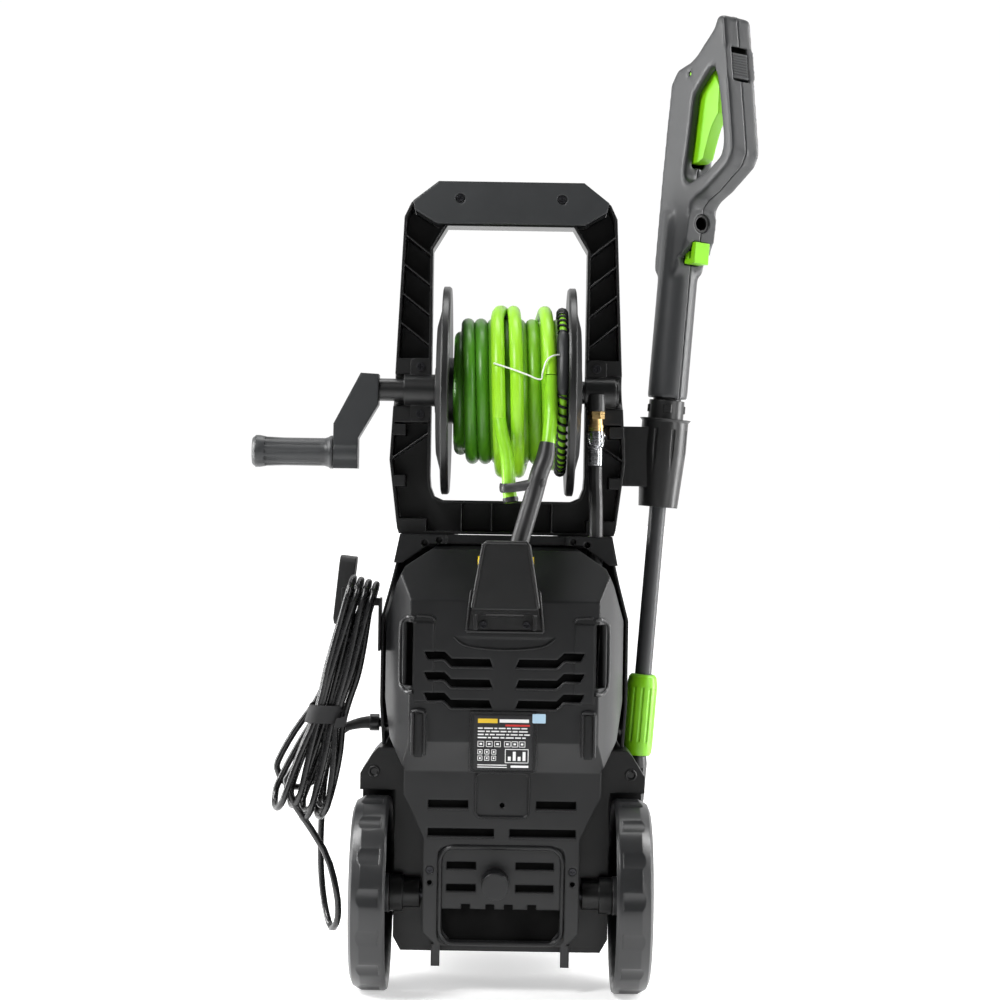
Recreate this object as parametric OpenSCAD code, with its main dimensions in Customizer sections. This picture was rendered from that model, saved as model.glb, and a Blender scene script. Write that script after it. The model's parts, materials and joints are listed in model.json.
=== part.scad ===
// Upright electric pressure washer with a hose reel, seen from the operator's side at -Y.
// Millimetres. +Z up, +Y towards the front of the machine, origin on the floor under its middle.

/* [Body] */
// Width over the side covers
body_w = 260; // [250:1:312]
// Distance from the middle to the rear face
body_rear = 135; // [132:1:160]
// Distance from the middle to the front face
body_front = 150; // [140:1:180]
// Height of the top deck
deck_z = 472; // [455:1:570]
// Height of the underside
belly_z = 38; // [34:1:44]
// Wall of the moulded covers
wall = 3; // [2.4:0.1:3.6]

/* [Wheels] */
// Radius over the tread
wheel_r = 100; // [84:1:104]
// Width of a wheel
wheel_w = 38; // [32:1:46]
// Distance of the axle behind the middle
axle_back = 92; // [90:1:94]
// Radius of the steel axle
axle_r = 6; // [5:0.1:7.2]

/* [Handle] */
// Height of the handle's top edge above the deck
handle_h = 374; // [366:1:450]
// Depth of the handle's channel
handle_depth = 40; // [36:1:44]

/* [Hose reel] */
// Height of the reel's axis above the deck
reel_up = 152; // [150:1:156]
// Radius of a reel flange
flange_r = 110; // [92:1:112]
// Radius of the drum
drum_r = 35; // [29:1:42]
// Outer diameter of the pressure hose
hose_d = 14; // [12:0.5:15]
// Radius of the reel's hollow shaft
shaft_r = 12; // [10:0.5:13]
// Distance from the reel's axis to the crank grip's axis
crank_throw = 67; // [56:1:81]

/* [Gun and lance] */
// Lean of the gun in its holster, in degrees
gun_lean = 4.1; // [3.5:0.1:4.3]
// Turn of the gun's grip towards the operator, in degrees
gun_turn = 58; // [50:1:72]
// Radius of the lance tube
lance_r = 9; // [7.5:0.1:10.8]

/* [Power cord] */
// Diameter of the power cord
cord_d = 7; // [6:0.1:7.2]

/* [Fits] */
// Radial clearance of a shaft in its bore
running = 0.05; // [0.02:0.01:0.1]
// Gap between parts that move past each other
gap = 0.5; // [0.3:0.1:0.8]
// Gap between parts that sit together
seat = 0.1; // [0.05:0.05:0.2]

/* [Hidden] */
$fn = 64;
hw = body_w / 2;
axle_y = -axle_back;
axle_z = wheel_r;
wheel_in = hw - 14.5;
wheel_out = wheel_in + wheel_w;
split_y = -60;
skirt_z = 250;
chassis_rear = -80;
deck_t = 10;

handle_y = -handle_depth;
frame_top = deck_z + handle_h;
frame_in = hw - 45;
reel_y = handle_y;
reel_z = deck_z + reel_up;
cap_r = 17;
cap_in = hw - 52;
cap_out = hw - 19.5;
screw_x = hw - 37;
screw_dz = 25;
flange_x = hw - 68;
flange_hub_x = hw - 55;

gun_y = 5;
gun_tip_z = 178;
gun_tip_x = hw + 9.9;
cup_z0 = deck_z + 33 - gun_tip_z;
cup_z1 = cup_z0 + 95;

motor_y = 12;
pump_z = 62;
gear_z = 176;
motor_z = 214;
motor_r = 52;
motor_h = 150;
pinion_teeth = 12;
gear_teeth = 42;
tooth_module = 1.25;
gear_gap = tooth_module * (pinion_teeth + gear_teeth) / 2;
gear_y = motor_y - gear_gap;

knob_z = 392;
gland_y = -26;
nipple_y = handle_y - 12;

wound_x = flange_x - 4.5;
barrel_s0 = 443;
barrel_s1 = 583;
lance_cup_r = 25;
sleeve_r = 16.6;
collar_r = 19;
lance_top = 560;
inlet_s = 632;
trigger_w = 14;
trigger_pin = [14, 792];
lock_w = 20;
hank_top = [-153, -60, 402];
hank_foot = 50;
hank_lean = 15.5;
hank_w = 36;
hank_l = 212;
plug_place = [-172, -12, 405];
plug_lean = 6;
plug_long = 84;
plug_tail = 10;
cover_screw_places = [[-73.5, 128, 2], [73.5, 128, 2]];

// Centre lines of the cords, as round numbers
jumper_route = [
    [93, -52, 546], [93, -53, 530], [94, -58, 505], [94, -63, 478], [94, -64, 440], [94, -62, 400],
    [92, -56, 340], [90, -50, 260], [88, -40, 180], [84, -30, 120], [76, -22, 90], [66, -22, 77],
    [52.5, -22, 76]
];
tail_route = [
    [44, -139, 604], [42, -142, 580], [38, -145, 555], [32, -148, 535]
];
boot_route = [
    [32, -148, 535], [27, -151, 515], [20, -156, 490], [12, -160, 460], [8, -162, 430], [6, -162, 408]
];
second_boot_route = [
    [-12, -118, 505], [-12, -132, 492], [-12, -150, 470], [-11, -160, 440], [-11, -162, 408]
];
lead_route = [
    [-146, -26, 270], [-158, -26, 268], [-176, -26, 254], [-188, -26, 220], [-192, -27, 170],
    [-192, -28, 120], [-187, -34, 78], [-178, -52, 55], [-170, -72, 70], [-172, -78, 100],
    [-186, -70, 140], [-197, -61, 168]
];
plug_route = [[-176.6, -12, 362.8], [-179, -13, 350], [-182, -19, 336], [-186, -31, 322]];

// A flat outline in X and Z, made solid between two depths
module xz(y0, y1) {
    translate([0, y1, 0]) rotate([90, 0, 0]) linear_extrude(y1 - y0) children();
}

// A flat outline in Y and Z, made solid between two stations along X
module yz(x0, x1) {
    translate([x0, 0, 0]) rotate([90, 0, 90]) linear_extrude(x1 - x0) children();
}

module xcyl(x0, x1, r) {
    translate([x0, 0, 0]) rotate([0, 90, 0]) cylinder(h = x1 - x0, r = r);
}

module ycyl(y0, y1, r) {
    translate([0, y1, 0]) rotate([90, 0, 0]) cylinder(h = y1 - y0, r = r);
}

module both_sides() {
    children();
    mirror([1, 0, 0]) children();
}

module block(x0, x1, y0, y1, z0, z1) {
    translate([x0, y0, z0]) cube([x1 - x0, y1 - y0, z1 - z0]);
}

module rounded(r) {
    offset(r, $fn = 24) offset(delta = -r) children();
}

module rect(x0, x1, z0, z1) {
    translate([x0, z0]) square([x1 - x0, z1 - z0]);
}

// Turns half an outline, listed from bottom to top on the +X side, into a whole one
function whole(p) = concat(p, [for (i = [len(p) - 1:-1:0]) [-p[i][0], p[i][1]]]);

module screw(head_r, head_h, shank_r, length) {
    difference() {
        union() {
            translate([0, 0, -head_h]) cylinder(h = head_h, r = head_r);
            translate([0, 0, -0.01]) cylinder(h = length, r = shank_r);
        }
        for (a = [0, 90]) rotate([0, 0, a])
            translate([-head_r * 0.62, -0.6, -head_h - 1]) cube([head_r * 1.24, 1.2, 2.4]);
    }
}

// Half outline of the covers, grown inwards by w
function cover_half(w) = [
    [0, skirt_z + w], [hw - 3 - w, skirt_z + w], [hw - w, skirt_z + 45], [hw - w, deck_z - 88],
    [hw - 10 - w, deck_z - 50], [hw - 14 - w, deck_z - 33], [hw - 19 - w, deck_z - deck_t - w],
    [0, deck_z - deck_t - w]
];

// The rear cover is what three flat outlines share: from behind, from the side and from above
function rear_half(w) = [
    [0, belly_z + 12 + w], [66 - w, belly_z + 12 + w], [80.5 - w, belly_z + 26 + w],
    [80.5 - w, 160], [101.5 - w, 205], [101.5 - w, 232], [hw - 12 - w, 261], [hw - 6 - w, 300],
    [hw - 6 - w, deck_z - 88], [hw - 18 - w, deck_z - 50], [hw - 26 - w, deck_z - 33],
    [70 - w, deck_z - deck_t - w], [0, deck_z - deck_t - w]
];
function rear_profile(w) = [
    [chassis_rear - seat, belly_z + 6], [-body_rear + 20 + w, belly_z + 6],
    [-body_rear + 17 + w, belly_z + 24], [-body_rear + 17 + w, 230], [-body_rear + w, 261],
    [-body_rear + w, deck_z - 66], [-92, deck_z - 15 - w * 1.5], [split_y, deck_z - deck_t - w],
    [split_y, skirt_z + seat], [chassis_rear - seat, skirt_z + seat]
];
function rear_plan(w) = [
    [hw - 6 - w, split_y], [hw - 6 - w, split_y - 12], [hw - 19 - w, -body_rear + 28],
    [hw - 33 - w, -body_rear + 1 + w], [hw - 36 - w, -body_rear + w]
];

module rear_solid(w) {
    intersection() {
        xz(-body_rear - 1, split_y + 1) polygon(whole(rear_half(w)));
        yz(-hw, hw) polygon(rear_profile(w));
        linear_extrude(deck_z) polygon([
            for (p = rear_plan(w)) p,
            for (i = [len(rear_plan(w)) - 1:-1:0]) [-rear_plan(w)[i][0], rear_plan(w)[i][1]]
        ]);
    }
}

// One bent air slot of the upper cover, with its outer third a step higher
module bent_slot(z) {
    xz(-body_rear - 4, -body_rear + wall + 1) polygon([
        [12, z - 4], [54, z - 4], [61, z + 3], [78, z + 3], [82, z + 11], [61, z + 11],
        [54, z + 4], [15, z + 4]
    ]);
}

module rear_cover() color("#34373a") {
    face = -body_rear;
    low = face + 17;
    difference() {
        union() {
            difference() {
                rear_solid(0);
                translate([0, 0.01, 0]) rear_solid(wall);
                block(-77, 77, chassis_rear - 30, chassis_rear + 1, belly_z + 15, belly_z + 60);
            }
            block(-34, 34, face - 1.2, face + 18, 231, 293);
            both_sides() {
                block(72, 92, face - 2, face + 2, 302, 383);
                difference() {
                    block(79, 94, face - 6, face + 2, 248, 291);
                    block(82, 91, face - 7, face - 1, 245, 292);
                }
                block(62, 71, low + 2, low + 10, belly_z - 9, belly_z + 14);
            }
        }
        both_sides() {
            for (z = [300.5, 321.5, 342.5]) bent_slot(z);
            block(93.5, 104.5, face - 5, face + 15, 318, 383);
            translate([86.5, 0, 270]) ycyl(face - 8, face + wall + 1, 2.5);
            translate([73.5, 0, 115]) ycyl(low - 1, low + wall + 1, 2.5);
            block(35, 76, low - 1, low + wall + 1, 192, 200);
            block(8, 76, low - 1, low + wall + 1, 163, 171);
            block(74, 82, -axle_back - 12, chassis_rear, axle_z - 14, axle_z + 14);
        }
        xz(face - 1, face + 1) polygon([[-52, 368], [52, 368], [38, 359], [0, 356], [-38, 359]]);
        xz(low - 1, low + 2) rounded(6) rect(-27, 27, 183, 229);
        translate([0, 0, 195]) ycyl(low, low + wall + 1, 2.5);
        xz(low - 1, low + 2) rounded(8) rect(-65, 65, 52, 152);
        for (z = [110, 133]) {
            block(-56, -26, low, low + wall + 1, z - 3.5, z + 3.5);
            block(15, 54, low, low + wall + 1, z - 3.5, z + 3.5);
        }
        xz(low, low + wall + 1) polygon([[-52, 56], [52, 56], [60, 66], [61, 88], [-61, 88], [-60, 66]]);
        for (x = [-36, -11, 8, 32]) block(x - 4.5, x + 4.5, low, low + wall + 1, 87, 93);
        translate([-6, 0, 116]) ycyl(low - 3, low + wall + 1, 8 + seat);
        translate([screw_x + 1, -64, deck_z - 50]) cylinder(h = 60, r = 9.5 + seat);
        for (x = [-22, 22]) translate([x, 0, deck_z - 90])
            ycyl(face - 1, face + wall + 1, 2 + seat);
        for (p = cover_screw_places) translate([p[0], 0, p[1]]) {
            ycyl(low - 1, low + 40, p[2] + seat);
            ycyl(low - 1, low + 2.7, 4);
        }
    }
}

module chassis() color("#1c1e1f") {
    rim = wheel_in - 3.5;
    guard_z = axle_z + sqrt(pow(wheel_r + 4, 2) - pow(axle_back - 25, 2));
    difference() {
        union() {
            difference() {
                xz(chassis_rear, body_front - 14) polygon(whole([
                    [0, belly_z], [rim - 8, belly_z], [rim, belly_z + 14], [rim, skirt_z], [0, skirt_z]
                ]));
                xz(chassis_rear + wall, body_front - 14 - wall) polygon(whole([
                    [0, belly_z + wall], [rim - 9, belly_z + wall], [rim - wall, belly_z + 16],
                    [rim - wall, skirt_z + 1], [0, skirt_z + 1]
                ]));
            }
            both_sides() {
                difference() {
                    xz(chassis_rear, -22) polygon([
                        [rim - wall, wheel_r * 2 + 5], [wheel_out - 5, wheel_r * 2 + 5],
                        [wheel_out - 5, 222], [wheel_out - 18, 243], [hw, 249], [rim - wall, 249]
                    ]);
                    xz(chassis_rear + wall, -22 - wall) polygon([
                        [rim, wheel_r * 2 + 9], [wheel_out - 8, wheel_r * 2 + 9],
                        [wheel_out - 8, 220], [wheel_out - 20, 240], [rim, 245]
                    ]);
                }
                block(rim - 1, hw - 5, -21, body_front - 30, 205, 249);
                block(rim - 1, wheel_out - 5, -25, -22, guard_z, wheel_r * 2 + 8);
                translate([0, axle_y, axle_z]) {
                    xcyl(84, wheel_in - 12, 15);
                    xcyl(wheel_in - 14, wheel_in - gap, 19);
                }
                block(84, rim, axle_y, chassis_rear + 1, axle_z - 15, axle_z + 15);
                block(60, 100, body_front - 24, body_front + 6, belly_z, belly_z + 40);
                translate([26, gear_y, belly_z + 1]) cylinder(h = pump_z - belly_z - 1 - seat, r = 7);
            }
        }
        translate([0, axle_y, axle_z]) xcyl(-hw, hw, axle_r + running);
        both_sides() {
            translate([80, body_front - 9, belly_z - 1]) cylinder(h = 30, r = 6 + seat);
        }
        translate([0, 0, pump_z + 14]) ycyl(body_front - 30, body_front + 5, 13 + gap);
    }
}

module front_feet() color("#161718") {
    both_sides() translate([80, body_front - 9, 0]) {
        cylinder(h = 8, r = 16);
        cylinder(h = belly_z - seat, r = 11);
        cylinder(h = belly_z + 20, r = 6);
    }
}

module front_cover() color("#34373a") {
    difference() {
        intersection() {
            xz(split_y + seat, body_front) polygon(whole(cover_half(0)));
            yz(-hw, hw) polygon([
                [split_y + seat, skirt_z + seat], [body_front - 10, skirt_z + seat],
                [body_front, skirt_z + 30], [body_front, deck_z - 46], [body_front - 26, deck_z - deck_t],
                [split_y + seat, deck_z - deck_t]
            ]);
        }
        intersection() {
            xz(split_y - 1, body_front) polygon(whole(cover_half(wall)));
            yz(-hw, hw) polygon([
                [split_y - 1, skirt_z - 1], [body_front - 11 - wall, skirt_z - 1],
                [body_front - 8 - wall, skirt_z + 30], [body_front - 8 - wall, deck_z - 49],
                [body_front - 28 - wall, deck_z - deck_t - wall], [split_y - 1, deck_z - deck_t - wall]
            ]);
        }
        block(3 - hw + wall, hw - 3 - wall, split_y - 1, body_front - 11 - wall, skirt_z - 1, skirt_z + 4);
        xz(body_front - 8, body_front + 1) rounded(10) rect(-84, 84, skirt_z + 34, deck_z - 108);
        for (z = [deck_z - 96, deck_z - 87]) block(-100, -44, body_front - 14, body_front + 1, z, z + 4);
        translate([0, 0, knob_z]) ycyl(body_front - 20, body_front + 5, 12 + seat);
        both_sides() {
            block(frame_in + 7, frame_in + 27, handle_y + 6, -6, deck_z - 20, deck_z);
            for (i = [0:5]) block(hw - 10, hw + 1, -20 + i * 22, -10 + i * 22, 300, 360);
            translate([0, -50, deck_z - 105]) xcyl(hw - 10, hw + 2, 2 + seat);
        }
        translate([0, gland_y, skirt_z + 20]) xcyl(-hw - 2, -hw + 14, 5);
        translate([screw_x + 1, -64, deck_z - 50]) cylinder(h = 60, r = 9.5 + seat);
    }
}

module front_panel() color("#8ac91f") {
    difference() {
        xz(body_front - 7.9, body_front + 2) rounded(10)
            rect(-84 + seat, 84 - seat, skirt_z + 34 + seat, deck_z - 108 - seat);
        for (i = [0:5]) block(-60, 60, body_front - 9, body_front + 3,
            skirt_z + 50 + i * 10, skirt_z + 55 + i * 10);
    }
}

module top_deck() color("#3b3e41") {
    difference() {
        union() {
            block(19 - hw, hw - 19, split_y - 12, body_front - 26, deck_z - deck_t + seat, deck_z);
            both_sides() xz(split_y - 18, split_y - 2) polygon([
                [62, deck_z], [hw - 19, deck_z], [hw - 13, deck_z - 30], [hw - 22, deck_z - 30 ],
                [hw - 50, deck_z - deck_t + seat], [62, deck_z - deck_t + seat]
            ]);
        }
        both_sides() {
            block(frame_in + 7, frame_in + 27, handle_y + 6, -6, deck_z - 20, deck_z + 1);
            translate([hw - 45, 0, deck_z - 9]) ycyl(split_y - 20, split_y - 8, 3.2);
            translate([hw - 60, 0, deck_z - 6]) ycyl(split_y - 20, split_y - 8, 3.2);
        }
        translate([screw_x + 1, -64, deck_z - 60]) cylinder(h = 80, r = 10);
        xz(split_y, body_front) rounded(3) rect(-55, 55, deck_z - 3, deck_z + 4);
        rear_clear();
    }
}

// Room for the rear cover's roof under the deck's overhang
module rear_clear() {
    intersection() {
        translate([0, -0.3, 0.3]) rear_solid(0);
        block(-hw, hw, -body_rear, split_y, 0, deck_z - deck_t);
    }
}

module cover_screws() color("#26282a") {
    for (p = cover_screw_places) translate([p[0], -body_rear + 19.6, p[1]]) rotate([-90, 0, 0])
        screw(3.6, 2.5, 2, 14);
}

module rating_plate() color("#101112") {
    xz(-body_rear - 2, -body_rear - 1.3) rounded(2) rect(-30, 30, 234, 290);
}

module yellow_label() color("#f2d100") {
    slope = atan2(51, body_rear - 92);
    translate([0, -92, deck_z - 15]) rotate([slope, 0, 0]) block(-29, 29, -20, -9, 0.3, 0.9);
}

module tow_stub() color("#3a3d40") {
    translate([-6, 0, 116]) {
        ycyl(-body_rear - 12, -body_rear + 18, 14);
        ycyl(-body_rear + 17, -body_rear + 32, 8);
    }
}

module hose_hook() color("#1b1d1e") {
    face = -body_rear - 2.2;
    back = face - 44;
    z0 = deck_z - 98;
    difference() {
        union() {
            xz(face - 3, face) polygon([[-40, z0], [40, z0], [35, z0 + 44], [-35, z0 + 44]]);
            xz(back, back + 3) polygon([[-33, z0 + 26], [33, z0 + 26], [22.5, z0 + 92], [-22.5, z0 + 92]]);
            difference() {
                xz(back, face) polygon([
                    [-34, z0 + 20], [34, z0 + 20], [23.5, z0 + 92], [-23.5, z0 + 92]
                ]);
                xz(back + 3, face + 1) polygon([
                    [-30, z0 + 26], [30, z0 + 26], [20, z0 + 94], [-20, z0 + 94]
                ]);
                yz(-60, 60) polygon([
                    [face + 1, z0 + 40], [face - 20, z0 + 46], [back + 14, z0 + 100], [face + 1, z0 + 100]
                ]);
                yz(-60, 60) polygon([[back - 1, z0 + 8], [back - 1, z0 + 26], [face - 14, z0 + 8]]);
            }
            for (x = [-30, 30]) block(x - 2, x + 2, face - 16, face - 1, z0 + 3, z0 + 26);
        }
        for (x = [-22, 22]) translate([x, 0, z0 + 8]) ycyl(face - 4, face + 1, 2 + seat);
    }
}

module hook_screws() color("#2a2c2e") {
    for (x = [-22, 22]) translate([x, -body_rear - 5.3, deck_z - 90]) rotate([-90, 0, 0])
        screw(4, 2.5, 2, 10);
}

module cable_hook() color("#1b1d1e") {
    difference() {
        union() {
            block(-hw - 2.6, -hw - seat, -72, -38, deck_z - 123, deck_z - 68);
            block(-hw - 38, -hw - 2.5, -64, -56, deck_z - 76, deck_z - 68);
            block(-hw - 42, -hw - 38, -64, -56, deck_z - 76, deck_z - 58);
        }
        translate([0, -50, deck_z - 105]) xcyl(-hw - 4, -hw + 1, 2 + seat);
    }
}

module cord_gland() color("#1b1d1e") {
    translate([0, gland_y, skirt_z + 20]) difference() {
        union() {
            xcyl(-hw - 16, -hw + 12, 5 - seat);
            xcyl(-hw - 12, -hw - 2, 9);
        }
        xcyl(-hw - 17, -hw + 13, cord_d / 2 + 0.02);
    }
}

module axle() color("#9a9da0") {
    translate([0, axle_y, axle_z]) xcyl(-wheel_out + 4, wheel_out - 4, axle_r);
}

// A wheel on the +X side, with its inner rim at wheel_in
module wheel() {
    lugs = 15;
    translate([wheel_in, axle_y, axle_z]) rotate([0, 90, 0]) difference() {
        rotate_extrude() polygon([
            [axle_r + running, 0], [20, 0], [20, 13], [80, 17], [90, 4], [wheel_r - 2, 0],
            [wheel_r, 3], [wheel_r, wheel_w - 12], [wheel_r - 5, wheel_w - 3], [wheel_r - 12, wheel_w],
            [82, wheel_w - 2], [76, wheel_w - 12], [24, wheel_w - 10], [20, wheel_w - 4],
            [axle_r + running, wheel_w - 4]
        ]);
        for (i = [0:lugs - 1]) rotate([0, 0, i * 360 / lugs])
            translate([wheel_r + 28, 0, 7]) cylinder(h = wheel_w, r = 30);
        for (i = [0:5]) rotate([0, 0, i * 60]) translate([50, 0, -1]) cylinder(h = 60, r = 12);
    }
}

module wheel_left() color("#56595c") mirror([1, 0, 0]) wheel();

module wheel_right() color("#56595c") wheel();

module hub_cap() {
    translate([wheel_out - 4, axle_y, axle_z]) rotate([0, 90, 0]) {
        translate([0, 0, 0.01]) cylinder(h = 3, r = 18);
        translate([0, 0, 3]) cylinder(h = 1.5, r = 14);
    }
}

module hub_cap_left() color("#707478") mirror([1, 0, 0]) hub_cap();

module hub_cap_right() color("#707478") hub_cap();

function handle_outer(w) = [
    [0, deck_z + seat], [hw - 16 - w, deck_z + seat], [hw - 14 - w, deck_z + 6], [hw - 5 - w, deck_z + 78],
    [hw - 9 - w, deck_z + 152], [hw - 17 - w, frame_top - 38], [hw - 24 - w, frame_top - 23],
    [hw - 53 - w * 0.6, frame_top - w], [0, frame_top - w]
];
function handle_inner(w) = [
    [0, deck_z + 36 - w], [frame_in - 17 + w * 0.3, deck_z + 36 - w],
    [frame_in - 8 + w * 0.7, deck_z + 40 - w * 0.7], [frame_in - 4 + w * 0.9, deck_z + 50 - w * 0.3],
    [frame_in - 3 + w, deck_z + 62], [frame_in - 3 + w, frame_top - 72],
    [frame_in - 18 + w * 0.5, frame_top - 47 + w], [0, frame_top - 47 + w]
];
function grip_half(w) = [
    [0, frame_top - 45 + w], [hw - 52 - w, frame_top - 45 + w], [hw - 28 - w, frame_top - 31 + w / 2],
    [hw - 26 - w, frame_top - 21], [hw - 53 - w * 0.6, frame_top - w], [0, frame_top - w]
];

module handle_frame() color("#101112") {
    difference() {
        union() {
            xz(handle_y, 0) difference() {
                polygon(whole(handle_outer(0)));
                polygon(whole(handle_inner(0)));
            }
            both_sides()
                block(frame_in + 7.2, frame_in + 26.8, handle_y + 6.2, -6.2, deck_z - 18, deck_z + 10);
        }
        xz(handle_y - 1, -wall) difference() {
            polygon(whole([for (p = handle_outer(3)) [p[0], max(p[1], deck_z + 3)]]));
            polygon(whole(handle_inner(3)));
            both_sides() {
                rect(frame_in - 5, hw + 20, reel_z - 34, reel_z + 34);
                rect(hw - 22, hw + 20, deck_z + 50, deck_z + 62);
                rect(hw - 22, hw + 20, deck_z + 104, deck_z + 116);
                rect(frame_in, hw, deck_z, deck_z + 16);
                for (i = [0:3]) translate([frame_in + 12, deck_z + 210 + i * 32]) rotate(38)
                    square([70, 1.6], center = true);
                translate([frame_in + 20, deck_z + 92]) rotate(-35) square([80, 1.6], center = true);
                for (x = [16, 48]) rect(x - 0.8, x + 0.8, deck_z, deck_z + 40);
                rect(screw_x - 33 - 6, screw_x - 33 + 6, frame_top - 40, frame_top);
            }
        }
        difference() {
            xz(handle_y - 1, 1) polygon(whole(grip_half(-seat)));
            xz(handle_y + 3, -3) polygon(whole([for (p = grip_half(4)) [min(p[0], hw - 60), p[1]]]));
            xz(handle_y + 3, -3) polygon(whole([
                [hw - 61, frame_top - 39], [hw - 50, frame_top - 39], [hw - 20, frame_top - 60],
                [hw - 15, frame_top - 34], [hw - 55, frame_top - 4], [hw - 61, frame_top - 4]
            ]));
        }
        translate([0, reel_y, reel_z]) both_sides() xcyl(frame_in - 10, hw + 20, cap_r + 0.3);
        both_sides() for (dz = [-1, 1]) translate([screw_x, 0, reel_z + dz * screw_dz])
            ycyl(handle_y - 1, handle_y + 14, 2 + seat);
        both_sides() translate([54, 0, frame_top - 18]) ycyl(handle_y, handle_y + 16, 2 + seat);
    }
}

module grip_shell(y0, y1) {
    difference() {
        xz(y0, y1) polygon(whole(grip_half(0)));
        xz(handle_y + 3 - seat, seat - 3) polygon(whole([for (p = grip_half(4 - seat))
            [min(p[0], hw - 60), p[1]]]));
        xz(handle_y + 3 - seat, seat - 3) both_sides() polygon([
            [hw - 61, frame_top - 39 - seat], [hw - 50, frame_top - 39 - seat],
            [hw - 19, frame_top - 61], [hw - 14, frame_top - 34], [hw - 54.7, frame_top - 4 + seat],
            [hw - 61, frame_top - 4 + seat]
        ]);
    }
}

module grip_rear() color("#45484b") {
    difference() {
        grip_shell(handle_y - 3, handle_y / 2 - seat);
        for (x = [-54, 54]) translate([x, 0, frame_top - 18]) {
            ycyl(handle_y - 4, handle_y + 4, 2 + seat);
            ycyl(handle_y - 4, handle_y - 0.9, 5);
        }
    }
}

module grip_front() color("#45484b") grip_shell(handle_y / 2, 3);

module grip_screws() color("#202224") {
    for (x = [-54, 54]) translate([x, handle_y - 1, frame_top - 18]) rotate([-90, 0, 0])
        screw(4.2, 2, 2, 14);
}

// Bearing cap that holds one end of the reel's shaft against a post
module cap_body(x0, x1, low) {
    difference() {
        union() {
            translate([0, reel_y, reel_z]) xcyl(x0, x1, cap_r);
            xz(handle_y - 5, handle_y - seat) rounded(5)
                rect(screw_x - 11, screw_x + 11, reel_z - low, reel_z + 34);
        }
        translate([0, reel_y, reel_z]) xcyl(x0 - 1, x1 + 1, shaft_r + running);
        for (dz = low > 30 ? [-1, 1] : [1]) translate([screw_x, 0, reel_z + dz * screw_dz])
            ycyl(handle_y - 6, handle_y + 1, 2 + seat);
    }
}

module reel_cap() color("#26282a") mirror([1, 0, 0]) cap_body(cap_in, cap_out, 34);

module cap_screws() color("#2a2c2e") {
    for (p = [[-1, -1], [-1, 1], [1, 1]])
        translate([p[0] * screw_x, handle_y - 5.1, reel_z + p[1] * screw_dz]) rotate([-90, 0, 0])
            screw(4.5, 2.6, 2, 16);
}

module on_reel() {
    translate([0, reel_y, reel_z]) rotate([0, 90, 0]) children();
}

module reel_drum() color("#2a2c2e") on_reel() {
    inner = flange_hub_x - 3 - seat;
    difference() {
        union() {
            translate([0, 0, -hw - 7 + seat]) cylinder(h = 2 * hw - 18, r = shaft_r);
            rotate_extrude() difference() {
                translate([0, -inner]) square([drum_r, 2 * inner]);
                translate([-1, 3 - inner]) square([drum_r - 2, 2 * inner - 6]);
            }
        }
        translate([0, 0, 40]) cylinder(h = hw, r = 5);
        translate([0, 0, 36]) rotate([0, 90, 0]) cylinder(h = 60, r = 5);
        translate([0, 0, hw - 36]) rotate([0, -90, 0]) cylinder(h = 20, r = 3.5);
    }
}

// A dished reel flange on the +X side
module flange() {
    on_reel() difference() {
        rotate_extrude() polygon([
            [shaft_r + seat, flange_hub_x - 3], [flange_r * 0.62, flange_hub_x - 3],
            [flange_r - 10, flange_x + 1],
            [flange_r - 2, flange_x - 1], [flange_r, flange_x + 1],
            [flange_r, flange_x + 7], [flange_r - 3, flange_x + 8], [flange_r - 8, flange_x + 5],
            [flange_r * 0.62, flange_hub_x + 0.6], [24, flange_hub_x + 0.6], [24, flange_hub_x + 2.6],
            [shaft_r + seat, flange_hub_x + 2.6]
        ]);
        for (i = [0:5]) rotate([0, 0, i * 60 + 30])
            translate([flange_r * 0.47, 0, flange_x - 20]) cylinder(h = 60, r = 9);
    }
}

module reel_flange_left() color("#26282a") mirror([1, 0, 0]) flange();

module reel_flange_right() color("#26282a") flange();

// The wound hose: three full layers, with more turns of a fourth from the middle to the right
module hose_wound() color("#6fb81e") on_reel() {
    layer = drum_r + 0.3;
    rotate_extrude() polygon([
        [layer, -wound_x], [layer + 3 * hose_d, -wound_x], [layer + 3 * hose_d, -18],
        [layer + 4 * hose_d, -18], [layer + 4 * hose_d, 50], [layer + 3 * hose_d, 50],
        [layer + 3 * hose_d, wound_x], [layer, wound_x]
    ]);
}

module crank_arm() color("#3c3f42") {
    near = -hw - 7;
    far = -hw - 54;
    difference() {
        union() {
            difference() {
                xz(reel_y - 15, reel_y + 15) polygon([
                    [near, reel_z + 16], [near - 19, reel_z + 17], [far, reel_z - 37],
                    [far, reel_z - crank_throw - 17], [far + 26, reel_z - crank_throw - 17],
                    [far + 26, reel_z - 52], [near, reel_z - 16]
                ]);
                xz(reel_y - 11, reel_y + 16) polygon([
                    [near - 3, reel_z - 17], [near - 3, reel_z + 13], [near - 17, reel_z + 13],
                    [far + 3, reel_z - 39], [far + 3, reel_z - 49], [far + 22, reel_z - 49]
                ]);
            }
            translate([0, reel_y, reel_z]) xcyl(near - 8, near, 14.5);
            translate([0, reel_y, reel_z - crank_throw]) {
                xcyl(far, far + 26, 17);
                xcyl(far - 82, far + 1, 5);
            }
        }
    }
}

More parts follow.
